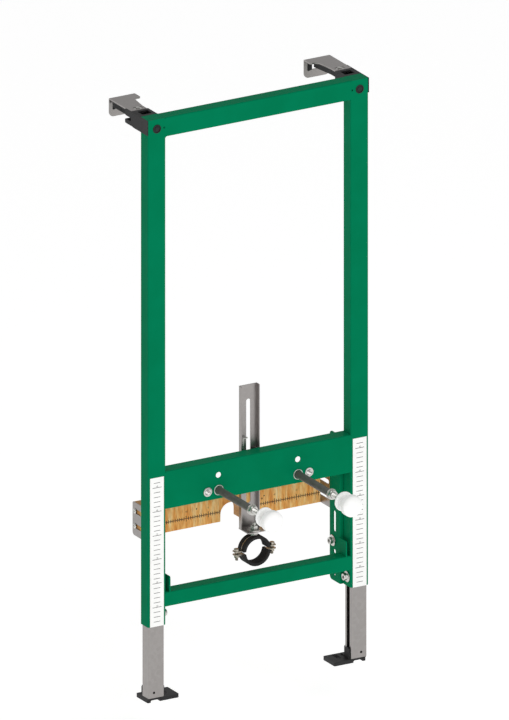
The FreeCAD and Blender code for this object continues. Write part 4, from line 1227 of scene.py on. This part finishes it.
@dataclass
class BracketPins:
    """Small screws in the brackets' oval holes, with a slot for the screwdriver."""

    x: float = 229.0
    y: float = 77.0
    level: float = 1217.0
    tongue: tuple[float, float, float] = (19.2, 10.2, 2.0)

    def tongue_plate(self) -> bpy.types.Object:
        """Plated tongue under the screw, which fills the bottom of the oval hole."""
        length, width, tall = self.tongue
        plate = turned("tongue", [(0.0, 0.0), (width / 2, 0.0), (width / 2, tall - 0.1),
                                  (width / 2 - 0.1, tall), (0.0, tall)], 32)
        for way in (-1, 1):
            pick(plate, lambda p: p.x * way > MERGE)
            with resumed(plate):
                bpy.ops.transform.translate(value=(way * (length - width) / 2 * MM, 0, 0))
        return plate

    def build(self) -> None:
        """Turn one screw with its slot and set it on both sides."""
        pin = turned("pin", [(0.0, 0.0), (3.0, 0.0), (3.0, 2.6), (4.2, 2.6), (4.4, 2.9),
                             (4.4, 4.0), (3.8, 4.5), (2.4, 4.6), (0.0, 4.6)], 36)
        meet(pin, block("slot", (-5.0, -0.5, 3.7), (5.0, 0.5, 5.0)))
        pin = joined("pin", [pin, self.tongue_plate()])
        pair = [stood(twin(pin, side + " pin"), at(sign * self.x, self.y, self.level), UP)
                for side, sign in SIDES.items()]
        bpy.data.objects.remove(pin)
        piece = joined("bracket_pins_cut", pair)
        ease(piece, 0.0, 35.0)
        hand_in(piece, "frame", Look.ZINC, "bracket_pins")


@dataclass
class CarrierBolt:
    """Bolt that locks the carrier in the guide: flat head, washer, nut and thread."""

    level: float = 465.0
    head_seat: float = 32.0
    washer_front: float = 41.3

    def build(self) -> None:
        """Build the bolt along its axis and stand it behind the panel."""
        head = turned("head", [(0.0, 0.0), (7.6, 0.0), (8.0, 0.4), (8.0, 1.4), (7.0, 2.4),
                               (4.5, 3.0), (0.0, 3.0)], 40)
        low = self.head_seat - self.washer_front
        washer = turned("washer", [(4.3, low), (4.3, low - 1.6), (8.2, low - 1.6),
                                   (8.5, low - 1.3), (8.5, low - 0.3), (8.2, low),
                                   (4.3, low)], 40)
        corner = 13.0 / math.sqrt(3)
        top, end = low - 1.6, low - 8.1
        nut = hexagon("nut", 13.0, end, top)
        meet(nut, turned("lens", [(0, end - 0.01), (6.1, end - 0.01), (corner + 0.2, end + 0.9),
                                  (corner + 0.2, top - 0.9), (6.1, top + 0.01),
                                  (0, top + 0.01)], 36), "INTERSECT")
        thread = threaded("thread", 4.0, 1.25, end - 3.0, 0.2, 20)
        piece = joined("carrier_bolt_cut", [head, washer, nut, thread])
        stood(piece, at(0, self.head_seat, self.level), FRONT)
        ease(piece, 0.0, 30.0)
        hand_in(piece, "frame", Look.ZINC, "carrier_bolt")


@dataclass
class PipeClamp:
    """Hanger, ribbed rubber and bolts of the waste clamp; the steel band is eased sheet."""

    y: float = 16.0
    level: float = 274.0
    bore: float = 25.0
    seat: float = 28.0
    band: float = 30.0
    lip: float = 31.0
    half_width: float = 12.5
    lip_in: float = 1.8
    gap: float = 2.5
    ribs: int = 8
    rib_deep: float = 0.7
    bolt_x: float = 40.0
    shelf: float = 313.0

    def rubber(self) -> None:
        """Spin the ribbed section and cut it into an upper and a lower half."""
        pitch = 2 * self.half_width / (self.ribs * 2 + 1)
        inner = []
        for i in range(self.ribs * 2 + 1):
            radius = self.bore if i % 2 == 0 else self.bore + self.rib_deep
            low = -self.half_width + i * pitch
            inner += [(radius, low + 0.2), (radius, low + pitch - 0.2)]
        edge, over = self.half_width, self.lip_in
        outer = [(self.bore + 0.6, edge), (self.lip - 0.4, edge), (self.lip, edge - 0.5),
                 (self.lip, over + 0.4), (self.lip - 0.4, over), (self.band + 0.05, over),
                 (self.band + 0.05, 10.05), (self.seat, 10.05), (self.seat, -10.05),
                 (self.band + 0.05, -10.05), (self.band + 0.05, -over),
                 (self.lip - 0.4, -over), (self.lip, -over - 0.4), (self.lip, -edge + 0.5),
                 (self.lip - 0.4, -edge), (self.bore + 0.6, -edge)]
        ring = turned("ring", inner + outer + [inner[0]], 72)
        halves = []
        for way in (-1, 1):
            half = twin(ring, "half")
            with editing(half, "FACE"):
                bpy.ops.mesh.bisect(plane_co=(0, way * self.gap * MM, 0), plane_no=(0, way, 0),
                                    use_fill=True, clear_inner=True, threshold=CLOSE)
            halves.append(half)
        bpy.data.objects.remove(ring)
        piece = joined("clamp_rubber_ribbed", halves)
        stood(piece, at(0, self.y, self.level), FRONT)
        ease(piece, 0.0, 30.0)
        hand_in(piece, "carrier", Look.RUBBER, "clamp_rubber")

    def bolts(self) -> None:
        """Two M6 bolts with slotted pan heads, thread and nut."""
        top, low = self.gap + 2.0, -self.gap - 2.0
        head = turned("head", [(0.0, top), (5.2, top), (5.5, top + 0.3), (5.5, top + 3.2),
                               (5.1, top + 4.3), (4.0, top + 4.9), (0.0, top + 5.0)], 36)
        meet(head, block("slot", (-6.0, -0.6, top + 3.3), (6.0, 0.6, top + 6.0)))
        thread = threaded("thread", 3.0, 1.0, top - 20.0, top + 0.2, 18)
        corner = 10.0 / math.sqrt(3)
        nut = hexagon("nut", 10.0, low - 5.0, low)
        meet(nut, turned("lens", [(0, low - 5.01), (4.7, low - 5.01), (corner + 0.2, low - 4.2),
                                  (corner + 0.2, low - 0.8), (4.7, low + 0.01),
                                  (0, low + 0.01)], 36), "INTERSECT")
        bolt = joined("bolt", [head, thread, nut])
        pair = [stood(twin(bolt, side + " bolt"), at(sign * self.bolt_x, self.y, self.level), UP)
                for side, sign in SIDES.items()]
        bpy.data.objects.remove(bolt)
        piece = joined("clamp_bolts_cut", pair)
        ease(piece, 0.0, 30.0)
        hand_in(piece, "carrier", Look.BAND, "clamp_bolts")

    def hanger(self) -> None:
        """Threaded stem with a hexagon boss under the shelf, and washer and nut above."""
        base, shelf, top = self.band - 0.3, self.shelf - self.level, self.shelf - self.level + 2
        boss = hexagon("boss", 13.0, base, shelf)
        washer = turned("washer", [(4.3, top), (13.7, top), (14.0, top + 0.3), (14.0, top + 1.7),
                                   (13.7, top + 2.0), (4.3, top + 2.0), (4.3, top)], 48)
        corner = 13.0 / math.sqrt(3)
        nut = hexagon("nut", 13.0, top + 2, top + 10)
        meet(nut, turned("lens", [(0, top + 1.99), (6.1, top + 1.99), (corner + 0.2, top + 2.9),
                                  (corner + 0.2, top + 9.1), (6.1, top + 10.01),
                                  (0, top + 10.01)], 36), "INTERSECT")
        stem = threaded("stem", 4.0, 1.25, base + 0.5, top + 16.0, 20)
        piece = joined("clamp_hanger_cut", [boss, washer, nut, stem])
        stood(piece, at(0, self.y, self.level), UP)
        ease(piece, 0.0, 30.0)
        hand_in(piece, "carrier", Look.ZINC, "clamp_hanger")

    def build(self) -> None:
        """Build rubber, bolts and hanger."""
        self.rubber()
        self.bolts()
        self.hanger()


@dataclass
class Studio:
    """Camera at the photograph's angle, a light table for a floor, a pale world light and one soft
    lamp.
    """

    azimuth: float = -30.0
    elevation: float = 20.0
    aim: tuple[float, float, float] = (0.21243, -0.155, -0.51205)
    away: float = 3.0
    frame_height: float = 1.41485
    floor_drop: float = 0.1
    floor_size: float = 30.0
    floor_glow: float = 0.42

    def camera(self) -> None:
        """Set up the orthographic camera of the photograph."""
        a, e = math.radians(self.azimuth), math.radians(self.elevation)
        back = Vector((math.sin(a) * math.cos(e), -math.cos(a) * math.cos(e), math.sin(e)))
        data = bpy.data.cameras.new("camera")
        data.type = "ORTHO"
        data.ortho_scale = self.frame_height
        data.clip_end = 50.0
        camera = bpy.data.objects.new("camera", data)
        bpy.context.collection.objects.link(camera)
        camera.location = Vector(self.aim) + back * self.away
        camera.rotation_mode = "QUATERNION"
        camera.rotation_quaternion = (-back).to_track_quat("-Z", "Y")
        bpy.context.scene.camera = camera

    def floor(self) -> None:
        """Lay the pale floor at the lowest reach of the feet."""
        low = cad_box[0][2] - self.floor_drop
        bpy.ops.mesh.primitive_plane_add(size=self.floor_size, location=(0, 0, low))
        floor = bpy.context.object
        floor.name = "floor"
        material, tree = new_material("milky light table")
        surface = add_node(tree, "BsdfPrincipled", {
            "Base Color": linear("f6f6f6"), "Roughness": 0.6, "Specular IOR Level": 0.1,
            "Emission Color": linear("ffffff"), "Emission Strength": self.floor_glow})
        add_node(tree, "OutputMaterial", {"Surface": surface.outputs[0]})
        floor.data.materials.append(material)

    def lamp(self, name: str, azimuth: float, elevation: float, watts: float,
             size: float, distance: float = 3.5) -> None:
        """Hang one soft square lamp.

        Args:
            name: Name of the lamp.
            azimuth: Degrees round the object, as for the camera.
            elevation: Degrees above the horizon.
            watts: Power.
            size: Side of the lamp in metres.
            distance: Metres from the middle of the object.
        """
        a, e = math.radians(azimuth), math.radians(elevation)
        back = Vector((math.sin(a) * math.cos(e), -math.cos(a) * math.cos(e), math.sin(e)))
        data = bpy.data.lights.new(name, "AREA")
        data.energy = watts
        data.size = size
        lamp = bpy.data.objects.new(name, data)
        bpy.context.collection.objects.link(lamp)
        lamp.location = Vector(self.aim) + back * distance
        lamp.rotation_euler = (-back).to_track_quat("-Z", "Y").to_euler()

    def sky(self) -> None:
        """Pale world light."""
        world = bpy.data.worlds.new("studio")
        world.use_nodes = True
        tree = world.node_tree
        tree.nodes.clear()
        glow = add_node(tree, "Background", {"Color": linear("ffffff"), "Strength": 0.6})
        add_node(tree, "OutputWorld", {"Surface": glow.outputs[0]})
        bpy.context.scene.world = world

    def build(self) -> None:
        """Build the whole studio."""
        self.camera()
        self.floor()
        self.sky()
        self.lamp("key", -5.0, 25.0, 38.0, 2.5)
        bpy.context.scene.view_settings.view_transform = "Standard"


def dress_cad() -> None:
    """Give every CAD node the finish that its own slot names."""
    for name, node in NODES.items():
        for slot in node.material_slots:
            slot.material = material_of(look_of(name))


def main() -> None:
    """Build everything in order and report it."""
    logging.basicConfig(level=logging.INFO, format="%(message)s")
    Studio().build()
    LOG.info("studio done")
    dress_cad()
    for assembly in (Sheetwork(), Welds(), CornerPlugs(), SlotClips(), BracketPins(),
                     RulerPrint(), BoardPrint(), BoardScrews(), Studs(), InsertNuts(),
                     FlangeScrews(), CarrierBolt(), PipeClamp()):
        assembly.build()
        LOG.info("%s done", type(assembly).__name__)


if __name__ == "__main__":
    main()
